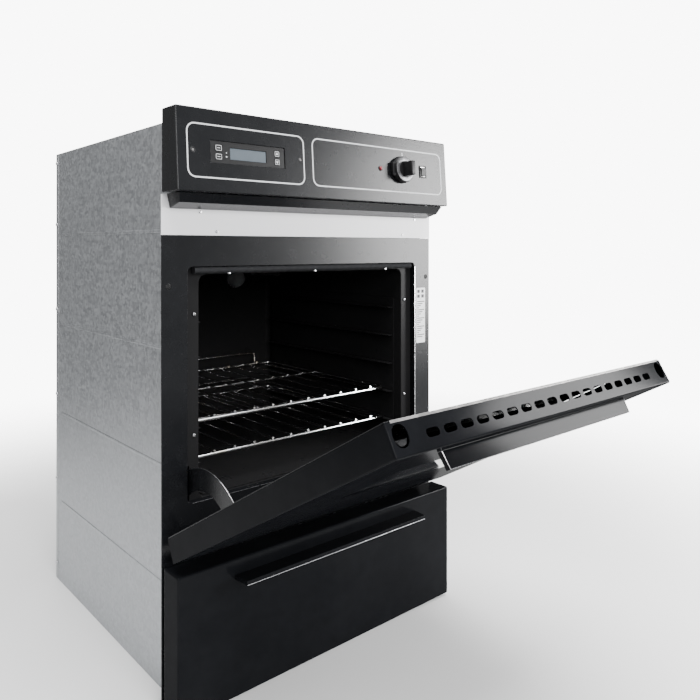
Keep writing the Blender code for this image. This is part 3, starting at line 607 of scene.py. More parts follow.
def thicken(bm, depth):
    """Gives flat faces a thickness behind them, closed all round."""
    bmesh.ops.solidify(bm, geom=bm.faces[:], thickness=depth)
    bmesh.ops.recalc_face_normals(bm, faces=bm.faces)
    return bm


def outline_ring(x, z, corner, width, depth):
    """A flat ring that follows a rounded rectangle."""
    bm = round_rect(x, z, corner)
    inner = bmesh.ops.inset_region(
        bm, faces=bm.faces[:], thickness=width, use_boundary=True, use_even_offset=True
    )
    middle = [face for face in bm.faces if face not in inner["faces"]]
    bmesh.ops.delete(bm, geom=middle, context="FACES")
    return thicken(bm, depth)


def filleted(points, radius, steps=5):
    """A path with its inner corners turned into arcs."""
    points = [Vector(point) for point in points]
    path = [points[0]]
    for before, corner, after in zip(points, points[1:], points[2:]):
        back, ahead = (before - corner).normalized(), (after - corner).normalized()
        angle = back.angle(ahead)
        shorter = min((before - corner).length, (after - corner).length)
        reach = min(radius / math.tan(angle / 2), shorter * 0.49)
        arm = reach * math.tan(angle / 2)
        centre = corner + (back + ahead).normalized() * math.hypot(arm, reach)
        start, end = corner + back * reach - centre, corner + ahead * reach - centre
        for step in range(steps + 1):
            path.append(centre + start.slerp(end, step / steps).normalized() * start.length)
    path.append(points[-1])
    return path


def swept(points, radius, sides, closed=False):
    """A round wire along a path, made ring by ring."""
    points = [Vector(point) for point in points]
    if closed:
        points = points + points[:1]
    tangents = []
    for index in range(len(points)):
        before = points[index - 1] if index else (points[-2] if closed else points[0])
        after = points[index + 1] if index + 1 < len(points) else (points[1] if closed else points[-1])
        tangents.append((after - before).normalized())
    bm = bmesh.new()
    start = Matrix.Translation(points[0]) @ tangents[0].to_track_quat("Z", "Y").to_matrix().to_4x4()
    bmesh.ops.create_circle(bm, segments=sides, radius=radius, matrix=start)
    edges = first = bm.edges[:]
    for index in range(1, len(points)):
        grown = bmesh.ops.extrude_edge_only(bm, edges=edges)["geom"]
        ring = [item for item in grown if isinstance(item, bmesh.types.BMVert)]
        edges = [
            item
            for item in grown
            if isinstance(item, bmesh.types.BMEdge) and all(vert in ring for vert in item.verts)
        ]
        turn = tangents[index - 1].rotation_difference(tangents[index]).to_matrix()
        bmesh.ops.translate(bm, vec=points[index] - points[index - 1], verts=ring)
        bmesh.ops.rotate(bm, cent=points[index], matrix=turn, verts=ring)
    if closed:
        bmesh.ops.remove_doubles(bm, verts=bm.verts, dist=radius * 0.2)
    else:
        bmesh.ops.edgeloop_fill(bm, edges=first)
        bmesh.ops.edgeloop_fill(bm, edges=edges)
    bmesh.ops.recalc_face_normals(bm, faces=bm.faces)
    return bm


def merged(*parts):
    """Several bmeshes in one."""
    whole = bmesh.new()
    for part in parts:
        carried = bpy.data.meshes.new("carried")
        part.to_mesh(carried)
        part.free()
        whole.from_mesh(carried)
        bpy.data.meshes.remove(carried)
    return whole


def placed(bm, matrix):
    bm.transform(matrix)
    return bm


def add_piece(name, bm, body, finish_name, replaced=(), matrix=None, sharp=40.0):
    """Finishes a mesh as a piece that rides on a body."""
    if matrix is not None:
        bm.transform(matrix)
    mesh = bpy.data.meshes.new(name)
    bm.to_mesh(mesh)
    bm.free()
    made = bpy.data.objects.new(name, mesh)
    bpy.context.scene.collection.objects.link(made)
    mesh.shade_smooth()
    mesh.set_sharp_from_angle(angle=math.radians(sharp))
    mesh.materials.append(material(finish_name))
    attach(made, body)
    if replaced:
        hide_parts(*replaced)
    return made


def turn_corners(bm, radius):
    """Rounds the four corners of a sheet's face, and those of its folded sides."""
    low, high = (
        Vector(pick(vert.co[axis] for vert in bm.verts) for axis in range(3)) for pick in (min, max)
    )
    near = 0.1 * IN

    def cornered(vert):
        return all(min(vert.co[axis] - low[axis], high[axis] - vert.co[axis]) < near for axis in (0, 2))

    edges = []
    for edge in bm.edges:
        first, second = edge.verts
        if cornered(first) and cornered(second) and abs(first.co.y - second.co.y) > 3 * near:
            edges.append(edge)
    rounded(bm, radius, 6, edges)


def refined(node, finish_name, round_edge=None, corner=None):
    """A welded copy of a CAD node with softly rounded edges, which stands for it."""
    bm = bmesh.new()
    bm.from_mesh(frame["nodes"][node].data)
    bmesh.ops.remove_doubles(bm, verts=bm.verts, dist=2e-6)
    bmesh.ops.dissolve_limit(bm, angle_limit=math.radians(0.5), verts=bm.verts, edges=bm.edges)
    if corner:
        turn_corners(bm, corner)
    made = add_piece(f"{node}_shape", bm, frame["nodes"][node]["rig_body"], finish_name, (node,))
    for edge in made.data.edges:
        edge.use_edge_sharp = False
    edges = made.modifiers.new("soft_edges", "BEVEL")
    edges.width = settings().edge_round if round_edge is None else round_edge
    edges.segments = 2
    edges.limit_method = "ANGLE"
    edges.angle_limit = math.radians(38.0)
    flat = made.modifiers.new("flat_faces", "WEIGHTED_NORMAL")
    flat.weight = 100
    return made


def keep(node, finish_name):
    """A CAD node that shows as it is, with a real finish."""
    shown = frame["nodes"][node]
    shown.data.materials.clear()
    shown.data.materials.append(material(finish_name))


def screw_head(radius, height):
    """A pan head with a cross recess."""
    head = turned(
        [
            (0, 0),
            (radius, 0),
            (radius, height * 0.35),
            (radius * 0.93, height * 0.7),
            (radius * 0.7, height * 0.95),
            (radius * 0.45, height),
            (0, height),
        ],
        20,
    )
    wide, long = radius * 0.14, radius * 0.62
    cutter = merged(
        cube((-wide, -long, height * 0.35), (wide, long, height * 1.5)),
        cube((-long, -wide, height * 0.36), (long, wide, height * 1.51)),
    )
    return cut_with(head, cutter)


def cut_with(bm, cutter):
    """The bmesh with another one's shape taken out of it."""
    holders = []
    for name, shape in (("whole", bm), ("cutter", cutter)):
        mesh = bpy.data.meshes.new(name)
        shape.to_mesh(mesh)
        shape.free()
        holder = bpy.data.objects.new(name, mesh)
        bpy.context.scene.collection.objects.link(holder)
        holders.append(holder)
    whole, tool = holders
    hole = whole.modifiers.new("hole", "BOOLEAN")
    hole.object = tool
    hole.use_self = True
    evaluated = whole.evaluated_get(bpy.context.evaluated_depsgraph_get())
    mesh = bpy.data.meshes.new_from_object(evaluated)
    result = bmesh.new()
    result.from_mesh(mesh)
    for holder in holders:
        data = holder.data
        bpy.data.objects.remove(holder)
        bpy.data.meshes.remove(data)
    bpy.data.meshes.remove(mesh)
    return result


def screws(name, body, places, normal, radius=0.16, height=0.09, finish_name="bright_steel_and_painted_highlight"):
    """Like screws at several points, in one piece."""
    heads = [
        placed(screw_head(radius, height), facing(point, normal, turn=0.6 + 0.9 * index))
        for index, point in enumerate(places)
    ]
    return add_piece(name, merged(*heads), body, finish_name)


def lettering(words, size, depth):
    """Numerals as a thin solid, centred on the origin and facing +Z."""
    curve = bpy.data.curves.new("lettering", "FONT")
    curve.body = words
    curve.size = size
    curve.extrude = depth
    curve.align_x = "CENTER"
    curve.align_y = "CENTER"
    curve.resolution_u = 3
    holder = bpy.data.objects.new("lettering", curve)
    bpy.context.scene.collection.objects.link(holder)
    mesh = bpy.data.meshes.new_from_object(holder.evaluated_get(bpy.context.evaluated_depsgraph_get()))
    bpy.data.objects.remove(holder)
    bpy.data.curves.remove(curve)
    bm = bmesh.new()
    bm.from_mesh(mesh)
    bpy.data.meshes.remove(mesh)
    bmesh.ops.remove_doubles(bm, verts=bm.verts, dist=1e-5)
    return bm


def on_panel(x, height, depth=0.0):
    """A place on the leaning panel for a shape made with Z outwards and Y up."""
    spot = Matrix.Translation((x, depth, up_panel(height)))
    return PANEL @ spot @ Matrix.Rotation(math.pi / 2, 4, "X")


def strip(name, body, low, high, finish_name, matrix, edge):
    """A thin bar of metal with soft edges; the doors use it only for painted highlights along edges."""
    return add_piece(name, soft_cube(low, high, edge, 2), body, finish_name, matrix=matrix)


# ---------------------------------------------------------------- sizes and colours


class WallOvenSettings(bpy.types.PropertyGroup):
    """What a user would change on the oven."""

    enamel: FloatVectorProperty(
        name="Black Enamel",
        description="Colour of the front, the doors and the panel",
        subtype="COLOR",
        size=3,
        min=0,
        max=1,
        default=(0.0052, 0.0056, 0.0066),
    )
    rail: FloatVectorProperty(
        name="White Rail",
        description="Colour of the rail under the control panel",
        subtype="COLOR",
        size=3,
        min=0,
        max=1,
        default=(0.84, 0.84, 0.86),
    )
    print_ink: FloatVectorProperty(
        name="Print",
        description="Colour of the lines printed on the control panel",
        subtype="COLOR",
        size=3,
        min=0,
        max=1,
        default=(0.56, 0.57, 0.58),
    )
    edge_round: FloatProperty(
        name="Edge Radius",
        description="How far the edges of the pressed sheets are rounded",
        subtype="DISTANCE",
        unit="LENGTH",
        min=0,
        max=0.002,
        default=0.0004,
    )
    rack_rod: FloatProperty(
        name="Rack Frame Radius",
        description="Radius of the rod round each rack",
        subtype="DISTANCE",
        unit="LENGTH",
        min=0.001,
        max=0.005,
        default=0.0029,
    )
    rack_wire: FloatProperty(
        name="Rack Wire Radius",
        description="Radius of the wires across each rack",
        subtype="DISTANCE",
        unit="LENGTH",
        min=0.001,
        max=0.004,
        default=0.00215,
    )
    rack_wires: IntProperty(
        name="Rack Wires",
        description="How many wires run from front to back on each rack",
        min=4,
        max=24,
        default=10,
    )


class StageSettings(bpy.types.PropertyGroup):
    """The floor, the light and the view."""

    floor: FloatVectorProperty(
        name="Floor",
        description="Colour of the floor",
        subtype="COLOR",
        size=3,
        min=0,
        max=1,
        default=(0.86, 0.86, 0.86),
    )
    view_place: FloatVectorProperty(
        name="Camera Place",
        description="Where the camera stands",
        subtype="TRANSLATION",
        unit="LENGTH",
        size=3,
        default=(-0.7885, -1.2701, 0.7167),
    )
    view_turn: FloatProperty(
        name="Camera Turn",
        description="How far the camera turns from looking along Y",
        subtype="ANGLE",
        unit="ROTATION",
        default=math.radians(-40.886),
    )
    lens: FloatProperty(
        name="Lens", description="Focal length", subtype="DISTANCE_CAMERA", min=10, max=200, default=35.503
    )


# ---------------------------------------------------------------- the stage


def soft_light(name, place, target, size, power):
    data = bpy.data.lights.new(name, "AREA")
    data.shape = "RECTANGLE"
    data.size, data.size_y = size
    data.energy = power
    lamp = bpy.data.objects.new(name, data)
    bpy.context.scene.collection.objects.link(lamp)
    lamp.location = place
    lamp.rotation_euler = (Vector(target) - Vector(place)).to_track_quat("-Z", "Y").to_euler()


@finish("stage")
def floor_paint(maker, place):
    """A pale studio floor that fades out into the backdrop."""
    cloud = maker.noise(place, 3.0)
    away = maker.node("ShaderNodeVectorMath", {"operation": "LENGTH"}, place)[0]
    return {
        "Base Color": maker.mix(cloud, bpy.context.scene.stage.floor, (0.9, 0.9, 0.9)),
        "Roughness": 0.75 + cloud * 0.1,
        "Alpha": away.between(2.3, 0.8),
    }


class SCENE_OT_oven_stage(bpy.types.Operator):
    """Adds the floor, the soft lights and the camera"""

    bl_idname = "scene.oven_stage"
    bl_label = "Stage"

    def execute(self, context):
        stage = context.scene.stage
        bm = bmesh.new()
        bmesh.ops.create_grid(bm, x_segments=4, y_segments=4, size=40.0)
        mesh = bpy.data.meshes.new("floor")
        bm.to_mesh(mesh)
        bm.free()
        ground = bpy.data.objects.new("floor", mesh)
        context.scene.collection.objects.link(ground)
        mesh.materials.append(material("floor_paint"))

        world = bpy.data.worlds.new("studio")
        world.use_nodes = True
        context.scene.world = world
        tree = world.node_tree
        tree.nodes.clear()
        maker = Maker(tree)
        seen = maker.node("ShaderNodeLightPath")[0]
        backdrop = maker.node("ShaderNodeBackground", {}, (1.0, 1.0, 1.0, 1.0), 9.0)[0]
        room = maker.node("ShaderNodeBackground", {}, (1.0, 1.0, 1.0, 1.0), 0.3)[0]
        both = maker.node("ShaderNodeMixShader", {}, seen, room, backdrop)[0]
        maker.node("ShaderNodeOutputWorld", {}, both)

        soft_light("right_card", (2.0, -1.85, 0.95), (0.1, -0.3, 0.7), (0.6, 1.2), 100.0)
        soft_light("front_light", (-0.6, -3.0, 1.5), (0.0, 0.0, 0.6), (1.2, 1.2), 60.0)
        soft_light("top_light", (0.0, -0.7, 2.7), (0.0, -0.3, 0.4), (2.4, 2.0), 170.0)
        soft_light("left_light", (-2.6, 0.6, 1.7), (0.0, 0.0, 0.5), (1.4, 1.8), 24.0)
        soft_light("back_light", (0.6, 2.8, 1.8), (0.0, 0.0, 0.5), (1.8, 1.4), 40.0)

        data = bpy.data.cameras.new("view")
        data.sensor_width = 36.0
        data.lens = stage.lens
        data.shift_x = 0.0072
        data.shift_y = -0.146
        view = bpy.data.objects.new("view", data)
        view.location = stage.view_place
        view.rotation_euler = (math.pi / 2, 0.0, stage.view_turn)
        context.scene.collection.objects.link(view)
        context.scene.camera = view
        return {"FINISHED"}


# ---------------------------------------------------------------- the case


class MESH_OT_oven_case(bpy.types.Operator):
    """Adds the galvanised case, its seams, screws and louvres"""

    bl_idname = "mesh.oven_case"
    bl_label = "Case"

    def execute(self, context):
        for node in ("side_panel_left", "side_panel_right", "back_panel", "top_panel", "base_pan"):
            keep(node, "galvanised")
        low, high = box_inches("side_panel_right")
        top, back, front, face = high.z, high.y, low.y, high.x
        rear_heights = (1.2, 8.4, 15.6, 22.8, 30.0, 35.2)
        front_heights = (3.0, 10.3, 18.6, 27.6, 34.6)
        for side, sign in (("left", -1), ("right", 1)):
            ribs = [
                soft_cube(
                    (sign * face - 0.03, front + 1.2, height),
                    (sign * face + 0.03, back - 1.4, height + 0.22),
                    0.03,
                )
                for height in (6.5, 14.0, 21.5, 29.0)
            ]
            seam = soft_cube(
                (sign * face - 0.02, back - 0.62, low.z + 0.02),
                (sign * face + 0.05, back - 0.02, top - 0.02),
                0.02,
                2,
            )
            add_piece(f"case_ribs_{side}", merged(*ribs, seam), "cabinet", "galvanised", matrix=OVEN)
            places = [at(sign * (face + 0.05), back - 0.32, height) for height in rear_heights]
            places += [at(sign * face, front + 0.45, height) for height in front_heights]
            screws(f"case_screws_{side}", "cabinet", places, RIGHT * sign)
        lid_screws = [at(x, y, top) for x in (-9.8, -3.3, 3.3, 9.8) for y in (front + 0.6, back - 0.6)]
        screws("lid_screws", "cabinet", lid_screws, UP)
        louvres = []
        for row in range(7):
            louvre = turned([(0, 0), (0.34, 0), (0.34, 0.07), (0.24, 0.16), (0, 0.2)], 16)
            bmesh.ops.scale(louvre, vec=(5.2, 0.55, 1.0), verts=louvre.verts)
            louvres.append(placed(louvre, Matrix.Translation((0.0, front + 3.5 + row * 1.4, top))))
        add_piece("lid_louvres", merged(*louvres), "cabinet", "galvanised", matrix=OVEN)
        return {"FINISHED"}


# ---------------------------------------------------------------- the front


class MESH_OT_oven_front(bpy.types.Operator):
    """Adds the black front frame, bright steel strips on the opening's bottom and right edges that are a
    painted highlight, its screws and its label
    """

    bl_idname = "mesh.oven_front"
    bl_label = "Front Frame"

    def execute(self, context):
        refined("front_frame", "black_enamel")
        mouth_low, mouth_high = MOUTH
        face = box_inches("front_frame")[0].y
        label = thicken(round_rect((10.46, 11.51), (20.2, 24.72), 0.08), 0.006)
        bmesh.ops.translate(label, vec=(0, face - 0.008, 0), verts=label.verts)
        add_piece("blank_label", label, "cabinet", "label_film", matrix=OVEN)
        proud, sunk = face - 0.0095, face - 0.004
        bars = []
        for row in range(18):
            drop, end = row * 0.17, 11.41 - 0.21 * (row * 5 % 4)
            bars.append(cube((10.56, proud, 23.55 - drop), (end, sunk, 23.62 - drop)))
        for x in (10.58, 11.06):
            bars += [cube((x, proud, z), (x + 0.3, sunk, z + 0.26)) for z in (23.9, 24.3)]
        add_piece("label_bars", merged(*bars), "cabinet", "dark_print", matrix=OVEN)
        # Bright steel strips on the bottom and right edges of the opening only: a painted highlight where the
        # frame's lip catches the light.
        proud, sunk = face - 0.012, face + 0.05
        edge = [
            cube(
                (mouth_low.x + 0.35, proud, mouth_low.z - 0.035),
                (mouth_high.x - 0.35, sunk, mouth_low.z - 0.004),
            ),
            cube(
                (mouth_high.x + 0.004, proud, mouth_low.z + 0.35),
                (mouth_high.x + 0.06, sunk, mouth_high.z - 0.35),
            ),
        ]
        add_piece("opening_painted_highlight", merged(*edge), "cabinet", "bright_steel_and_painted_highlight", matrix=OVEN)
        spots = [at(sign * 11.57, face + 0.06, height) for sign in (-1, 1) for height in (4.4, 25.63)]
        screws("frame_screws", "cabinet", spots, FRONT, 0.18, 0.035, "black_plastic")
        screws(
            "liner_screws",
            "cabinet",
            [at(sign * 9.55, 2.53, height) for sign in (-1, 1) for height in (16.1, 23.8)],
            FRONT,
            radius=0.1,
            height=0.05,
        )
        return {"FINISHED"}


class MESH_OT_oven_rail(bpy.types.Operator):
    """Adds the white rail under the control panel, with its screws and clips"""

    bl_idname = "mesh.oven_rail"
    bl_label = "White Rail"

    def execute(self, context):
        refined("upper_front_rail", "white_enamel")
        face = box_inches("upper_front_rail")[0].y
        screws("rail_screws", "cabinet", [at(x, face, 29.05) for x in (-8.2, 8.8)], FRONT, 0.1, 0.06)
        clips = [
            soft_cube((x - 0.1, face - 0.04, 30.2), (x + 0.1, face + 0.01, 30.38), 0.02, 2)
            for x in (-9.4, 10.25)
        ]
        add_piece("rail_clips", merged(*clips), "cabinet", "bright_steel_and_painted_highlight", matrix=OVEN)
        return {"FINISHED"}


class MESH_OT_oven_gasket(bpy.types.Operator):
    """Adds the woven seal over the opening and the clips that hold it"""

    bl_idname = "mesh.oven_gasket"
    bl_label = "Gasket"

    def execute(self, context):
        low, high = box_inches("door_gasket")
        middle_y, middle_z = (low.y + high.y) / 2, (low.z + high.z) / 2
        bm = bmesh.new()
        bmesh.ops.create_circle(bm, cap_ends=True, segments=20, radius=1.0)
        bmesh.ops.rotate(bm, cent=(0, 0, 0), matrix=Matrix.Rotation(math.pi / 2, 3, "Y"), verts=bm.verts)
        bmesh.ops.scale(bm, vec=(1, (high.y - low.y) / 2, (high.z - low.z) / 2), verts=bm.verts)
        bmesh.ops.translate(bm, vec=(low.x, middle_y, middle_z), verts=bm.verts)
        grown = bmesh.ops.extrude_face_region(bm, geom=bm.faces[:])["geom"]
        moved = [item for item in grown if isinstance(item, bmesh.types.BMVert)]
        bmesh.ops.translate(bm, vec=(high.x - low.x, 0, 0), verts=moved)
        bmesh.ops.recalc_face_normals(bm, faces=bm.faces)
        long_edges = [edge for edge in bm.edges if edge.calc_length() > 1.0]
        bmesh.ops.subdivide_edges(bm, edges=long_edges, cuts=160, use_grid_fill=True)
        for vert in bm.verts:
            if low.x + 0.05 < vert.co.x < high.x - 0.05:
                wave = 1 - 0.045 * (1 + math.sin(vert.co.x * 9.0)) - 0.02 * math.sin(vert.co.x * 2.3)
                vert.co.y = middle_y + (vert.co.y - middle_y) * wave
                vert.co.z = middle_z + (vert.co.z - middle_z) * wave
        add_piece("door_seal", bm, "cabinet", "gasket_weave", ("door_gasket",), OVEN, sharp=60)
        clips = [
            soft_cube((x - 0.1, low.y - 0.025, low.z - 0.04), (x + 0.1, low.y + 0.03, low.z + 0.06), 0.015, 2)
            for x in (-7.35, -0.23, 6.81)
        ]
        add_piece("seal_clips", merged(*clips), "cabinet", "bright_steel_and_painted_highlight", matrix=OVEN)
        return {"FINISHED"}


# ---------------------------------------------------------------- the cavity


class MESH_OT_oven_cavity(bpy.types.Operator):
    """Adds the enamelled cavity, its floor, guides, lamp and sensing bulb"""

    bl_idname = "mesh.oven_cavity"
    bl_label = "Cavity"

    def execute(self, context):
        for node in ("oven_liner", "oven_floor", "rack_guide_left", "rack_guide_right"):
            refined(node, "cavity_enamel", round_edge=0.0003)
        keep("lamp_socket", "dull_steel_and_painted_highlight")
        keep("thermostat_body", "dull_steel_and_painted_highlight")
        keep("capillary_tube", "brass")
        low, high = box_inches("lamp_lens")
        x, z = (low.x + high.x) / 2, (low.z + high.z) / 2
        depth = high.y - low.y
        outside = [(0, 1), (0.35, 0.98), (0.62, 0.86), (0.78, 0.6), (0.84, 0.2)]
        inside = [(0.76, 0.2), (0.7, 0.55), (0.55, 0.78), (0.3, 0.9), (0, 0.92)]
        lens = turned(
            [(radius, depth * height) for radius, height in outside]
            + [(0.84, 0.02), (0.78, 0.02)]
            + [(radius, depth * height) for radius, height in inside],
            48,
        )
        spot = facing(at(x, high.y, z), FRONT)
        add_piece("lamp_cover", lens, "cabinet", "lamp_glass", ("lamp_lens",), spot)
        ring = turned(
            [(0.84, 0.0), (0.9, 0.0), (0.9, 0.16), (0.87, 0.2), (0.83, 0.2)]
            + [(0.8, 0.16), (0.8, 0.1), (0.84, 0.08), (0.84, 0.0)],
            48,
        )
        add_piece("lamp_ring", ring, "cabinet", "bright_steel_and_painted_highlight", matrix=spot)
        low, high = box_inches("sensing_bulb")
        x, z = (low.x + high.x) / 2, (low.z + high.z) / 2
        radius, length = (high.x - low.x) / 2, high.y - low.y
        bulb = turned(
            [(0, length), (radius * 0.5, length * 0.995), (radius, length * 0.97), (radius, length * 0.06)]
            + [(radius * 0.5, length * 0.03), (radius * 0.5, 0), (0, 0)],
            20,
        )
        add_piece("bulb", bulb, "cabinet", "dull_steel_and_painted_highlight", ("sensing_bulb",), facing(at(x, high.y, z), FRONT))
        return {"FINISHED"}


def rack_mesh(node):
    """The wires of one rack, in the oven's lengths."""
    made = settings()
    rod, wire = made.rack_rod / IN, made.rack_wire / IN
    low, high = box_inches(node)
    level = low.z + rod
    half, front, back = high.x - rod, low.y + 0.13, high.y - 0.06
    start = (0, front, level)
    corners = [(x, y, level) for x, y in ((half, front), (half, back), (-half, back), (-half, front))]
    loop = filleted([start, *corners, start], 0.5, 6)[:-1]
    parts = [swept(loop, rod, 12, closed=True)]
    cross = front + 9.2
    parts.append(swept([(-half, cross, level), (half, cross, level)], rod * 0.95, 12))
    top = level + rod + wire * 0.55
    pitch = 1.6
    for number in range(made.rack_wires):
        x = (number - (made.rack_wires - 1) / 2) * pitch
        path = [(x, front - 0.09, top + 0.045), (x, front + 0.05, top + 0.01)]
        path += [(x, y, top) for y in (front + 0.5, cross, back + 0.05)]
        parts.append(swept(path, wire, 10))
    foot = level + rod * 0.6
    height = box_inches(f"{node}_stop")[1].z - wire * 1.1
    stop = filleted([(-7.0, back, foot), (-7.0, back, height), (7.0, back, height), (7.0, back, foot)], 0.35)
    parts.append(swept(stop, wire * 1.1, 10))
    return merged(*parts)


class MESH_OT_oven_racks(bpy.types.Operator):
    """Adds the two chromed wire racks"""

    bl_idname = "mesh.oven_racks"
    bl_label = "Racks"

    def execute(self, context):
        for node in ("upper_rack", "lower_rack"):
            stands_for = (node, f"{node}_stop")
            add_piece(f"{node}_wires", rack_mesh(node), node, "chrome_wire", stands_for, OVEN, sharp=50)
        return {"FINISHED"}


# ---------------------------------------------------------------- burner, blanket and broiler


class MESH_OT_oven_burner(bpy.types.Operator):
    """Adds the burner, its igniter and the gas valve"""

    bl_idname = "mesh.oven_burner"
    bl_label = "Burner"

    def execute(self, context):
        refined("oven_burner", "dull_steel_and_painted_highlight")
        refined("igniter", "ceramic")
        refined("gas_valve", "brass", round_edge=0.001)
        return {"FINISHED"}


class MESH_OT_oven_blanket(bpy.types.Operator):
    """Adds the fibreglass blanket round the cavity"""

    bl_idname = "mesh.oven_blanket"
    bl_label = "Insulation"

    def execute(self, context):
        bm = bmesh.new()
        bm.from_mesh(frame["nodes"]["insulation_blanket"].data)
        bmesh.ops.remove_doubles(bm, verts=bm.verts, dist=2e-6)
        bmesh.ops.dissolve_limit(bm, angle_limit=math.radians(1), verts=bm.verts, edges=bm.edges)
        made = add_piece("blanket", bm, "cabinet", "fibreglass", ("insulation_blanket",))
        remesh = made.modifiers.new("felt", "REMESH")
        remesh.mode = "VOXEL"
        remesh.voxel_size = 0.008
        tufts = bpy.data.textures.new("tufts", "CLOUDS")
        tufts.noise_scale = 0.05
        swell = made.modifiers.new("swell", "DISPLACE")
        swell.texture = tufts
        swell.texture_coords = "LOCAL"
        swell.strength = 0.006
        swell.mid_level = 0.9
        smooth = made.modifiers.new("smooth", "SMOOTH")
        smooth.factor = 0.5
        smooth.iterations = 4
        graph = context.evaluated_depsgraph_get()
        mesh = bpy.data.meshes.new_from_object(made.evaluated_get(graph))
        made.modifiers.clear()
        mesh.materials.clear()
        mesh.materials.append(material("fibreglass"))
        mesh.shade_smooth()
        made.data = mesh
        return {"FINISHED"}


class MESH_OT_oven_broiler(bpy.types.Operator):
    """Adds the broiler compartment with its pan and grid"""

    bl_idname = "mesh.oven_broiler"
    bl_label = "Broiler"

    def execute(self, context):
        refined("broiler_liner", "cavity_enamel")
        refined("broiler_pan", "cavity_enamel", round_edge=0.0005)
        refined("broiler_grid", "chrome_wire")
        return {"FINISHED"}


# ---------------------------------------------------------------- the doors


class MESH_OT_oven_door(bpy.types.Operator):
    """Adds the oven door: its skins, glass, ledge handle and hinge arms"""

    bl_idname = "mesh.oven_door"
    bl_label = "Oven Door"

    def execute(self, context):
        refined("door_outer_panel", "gloss_enamel", round_edge=0.0005)
        refined("door_inner_panel", "black_enamel")
        refined("door_handle", "gloss_enamel", round_edge=0.0006)
        for node in ("door_outer_glass", "door_inner_glass"):
            refined(node, "dark_glass", round_edge=0.0008)
        for side in ("left", "right"):
            refined(f"hinge_arm_{side}", "black_enamel", round_edge=0.0003)
            keep(f"door_hinge_pin_{side}", "bright_steel_and_painted_highlight")
            refined(f"door_hinge_bracket_{side}", "dull_steel_and_painted_highlight", round_edge=0.0003)
        # Thin bright steel wires along part of the black hinge arms' curved edges are painted highlights.
        first, last = (math.radians(angle) for angle in ARM_ANGLES)
        angles = [first + (last - first) * step / 40 for step in range(41)]
        highlight_arcs = []
        for x in (-ARM_X, ARM_X):
            spokes = [Vector((0, math.sin(angle), math.cos(angle))) * ARM_REACH for angle in angles]
            points = [Vector((x, DOOR_PIVOT.y, DOOR_PIVOT.z)) + spoke for spoke in spokes]
            highlight_arcs.append(swept(points, 0.02, 6))
        add_piece("arm_painted_highlights", merged(*highlight_arcs), "oven_door", "bright_steel_and_painted_highlight", matrix=DOOR)
        top, inner, outer = 30.37, 1.484, -0.062
        # A dull steel strip along the top of the door's inner face is a painted highlight on the door's top
        # edge.
        low, high = (-11.6, inner - 0.12, top - 0.01), (11.6, inner + 0.003, top + 0.004)
        strip("door_top_painted_highlight", "oven_door", low, high, "dull_steel_and_painted_highlight", DOOR, 0.003)
        # A thin bright steel wire along the ledge handle's front lip is a painted highlight where the black
        # lip catches the light.
        ends, lip = outer - 0.03, outer - 0.845
        path = [(x, y, 29.15) for x, y in ((-8.08, ends), (-7.97, lip), (7.97, lip), (8.08, ends))]
        add_piece("handle_painted_highlight", swept(path, 0.014, 6), "oven_door", "bright_steel_and_painted_highlight", matrix=DOOR)
        trim = outline_ring((-7.35, 7.35), (19.05, 25.75), 0.35, 0.4, 0.05)
        bmesh.ops.translate(trim, vec=(0, inner + 0.03, 0), verts=trim.verts)
        bmesh.ops.bevel(
            trim,
            geom=trim.edges[:],
            offset=0.012,
            segments=2,
            profile=0.5,
            affect="EDGES",
            material=-1,
        )
        add_piece("window_trim", trim, "oven_door", "dull_steel_and_painted_highlight", matrix=DOOR)
        places = [DOOR @ Vector((x, inner, z)) for x in (-11.2, 11.2) for z in (11.0, 17.5, 23.5, 29.2)]
        places += [DOOR @ Vector((x, inner, z)) for x in (-4.0, 4.0) for z in (9.4, 29.6)]
        inward = (DOOR.to_3x3() @ BACK).normalized()
        screws("door_screws", "oven_door", places, inward, 0.14, 0.06)
        clip, reach = bmesh.new(), 0.33
        rim = [math.radians(190 + 10 * step) for step in range(17)]
        verts = [clip.verts.new((reach * math.cos(angle), reach * math.sin(angle), 0.0)) for angle in rim]
        clip.faces.new(verts)
        bmesh.ops.solidify(clip, geom=clip.faces[:], thickness=0.03)
        placed(clip, Matrix.Translation((-11.28, 0.72, top - 0.06)))
        add_piece("corner_clip", clip, "oven_door", "black_enamel", matrix=DOOR)
        return {"FINISHED"}


class MESH_OT_broiler_door(bpy.types.Operator):
    """Adds the broiler door and its ledge handle"""

    bl_idname = "mesh.broiler_door"
    bl_label = "Broiler Door"

    def execute(self, context):
        corner = 0.4 * IN
        refined("broiler_door_panel", "gloss_enamel", round_edge=0.0006, corner=corner)
        refined("broiler_door_liner", "black_enamel", corner=corner)
        refined("broiler_door_handle", "gloss_enamel", round_edge=0.0006)
        for side in ("left", "right"):
            keep(f"broiler_hinge_pin_{side}", "bright_steel_and_painted_highlight")
            refined(f"broiler_hinge_bracket_{side}", "dull_steel_and_painted_highlight", round_edge=0.0003)
        # A thin bright steel strip along the broiler handle's front lip is a painted highlight where the
        # black lip catches the light.
        low, high = (-7.95, -1.206, 7.375), (7.95, -1.18, 7.41)
        strip("broiler_handle_painted_highlight", "broiler_door", low, high, "bright_steel_and_painted_highlight", OVEN, 0.006)
        return {"FINISHED"}


# ---------------------------------------------------------------- the control panel


def panel_ring(x, heights, corner, width):
    """A printed outline, in the panel's lengths."""
    ring = outline_ring(x, [up_panel(height) for height in heights], corner, width, 0.004)
    bmesh.ops.translate(ring, vec=(0, -0.005, 0), verts=ring.verts)
    return ring


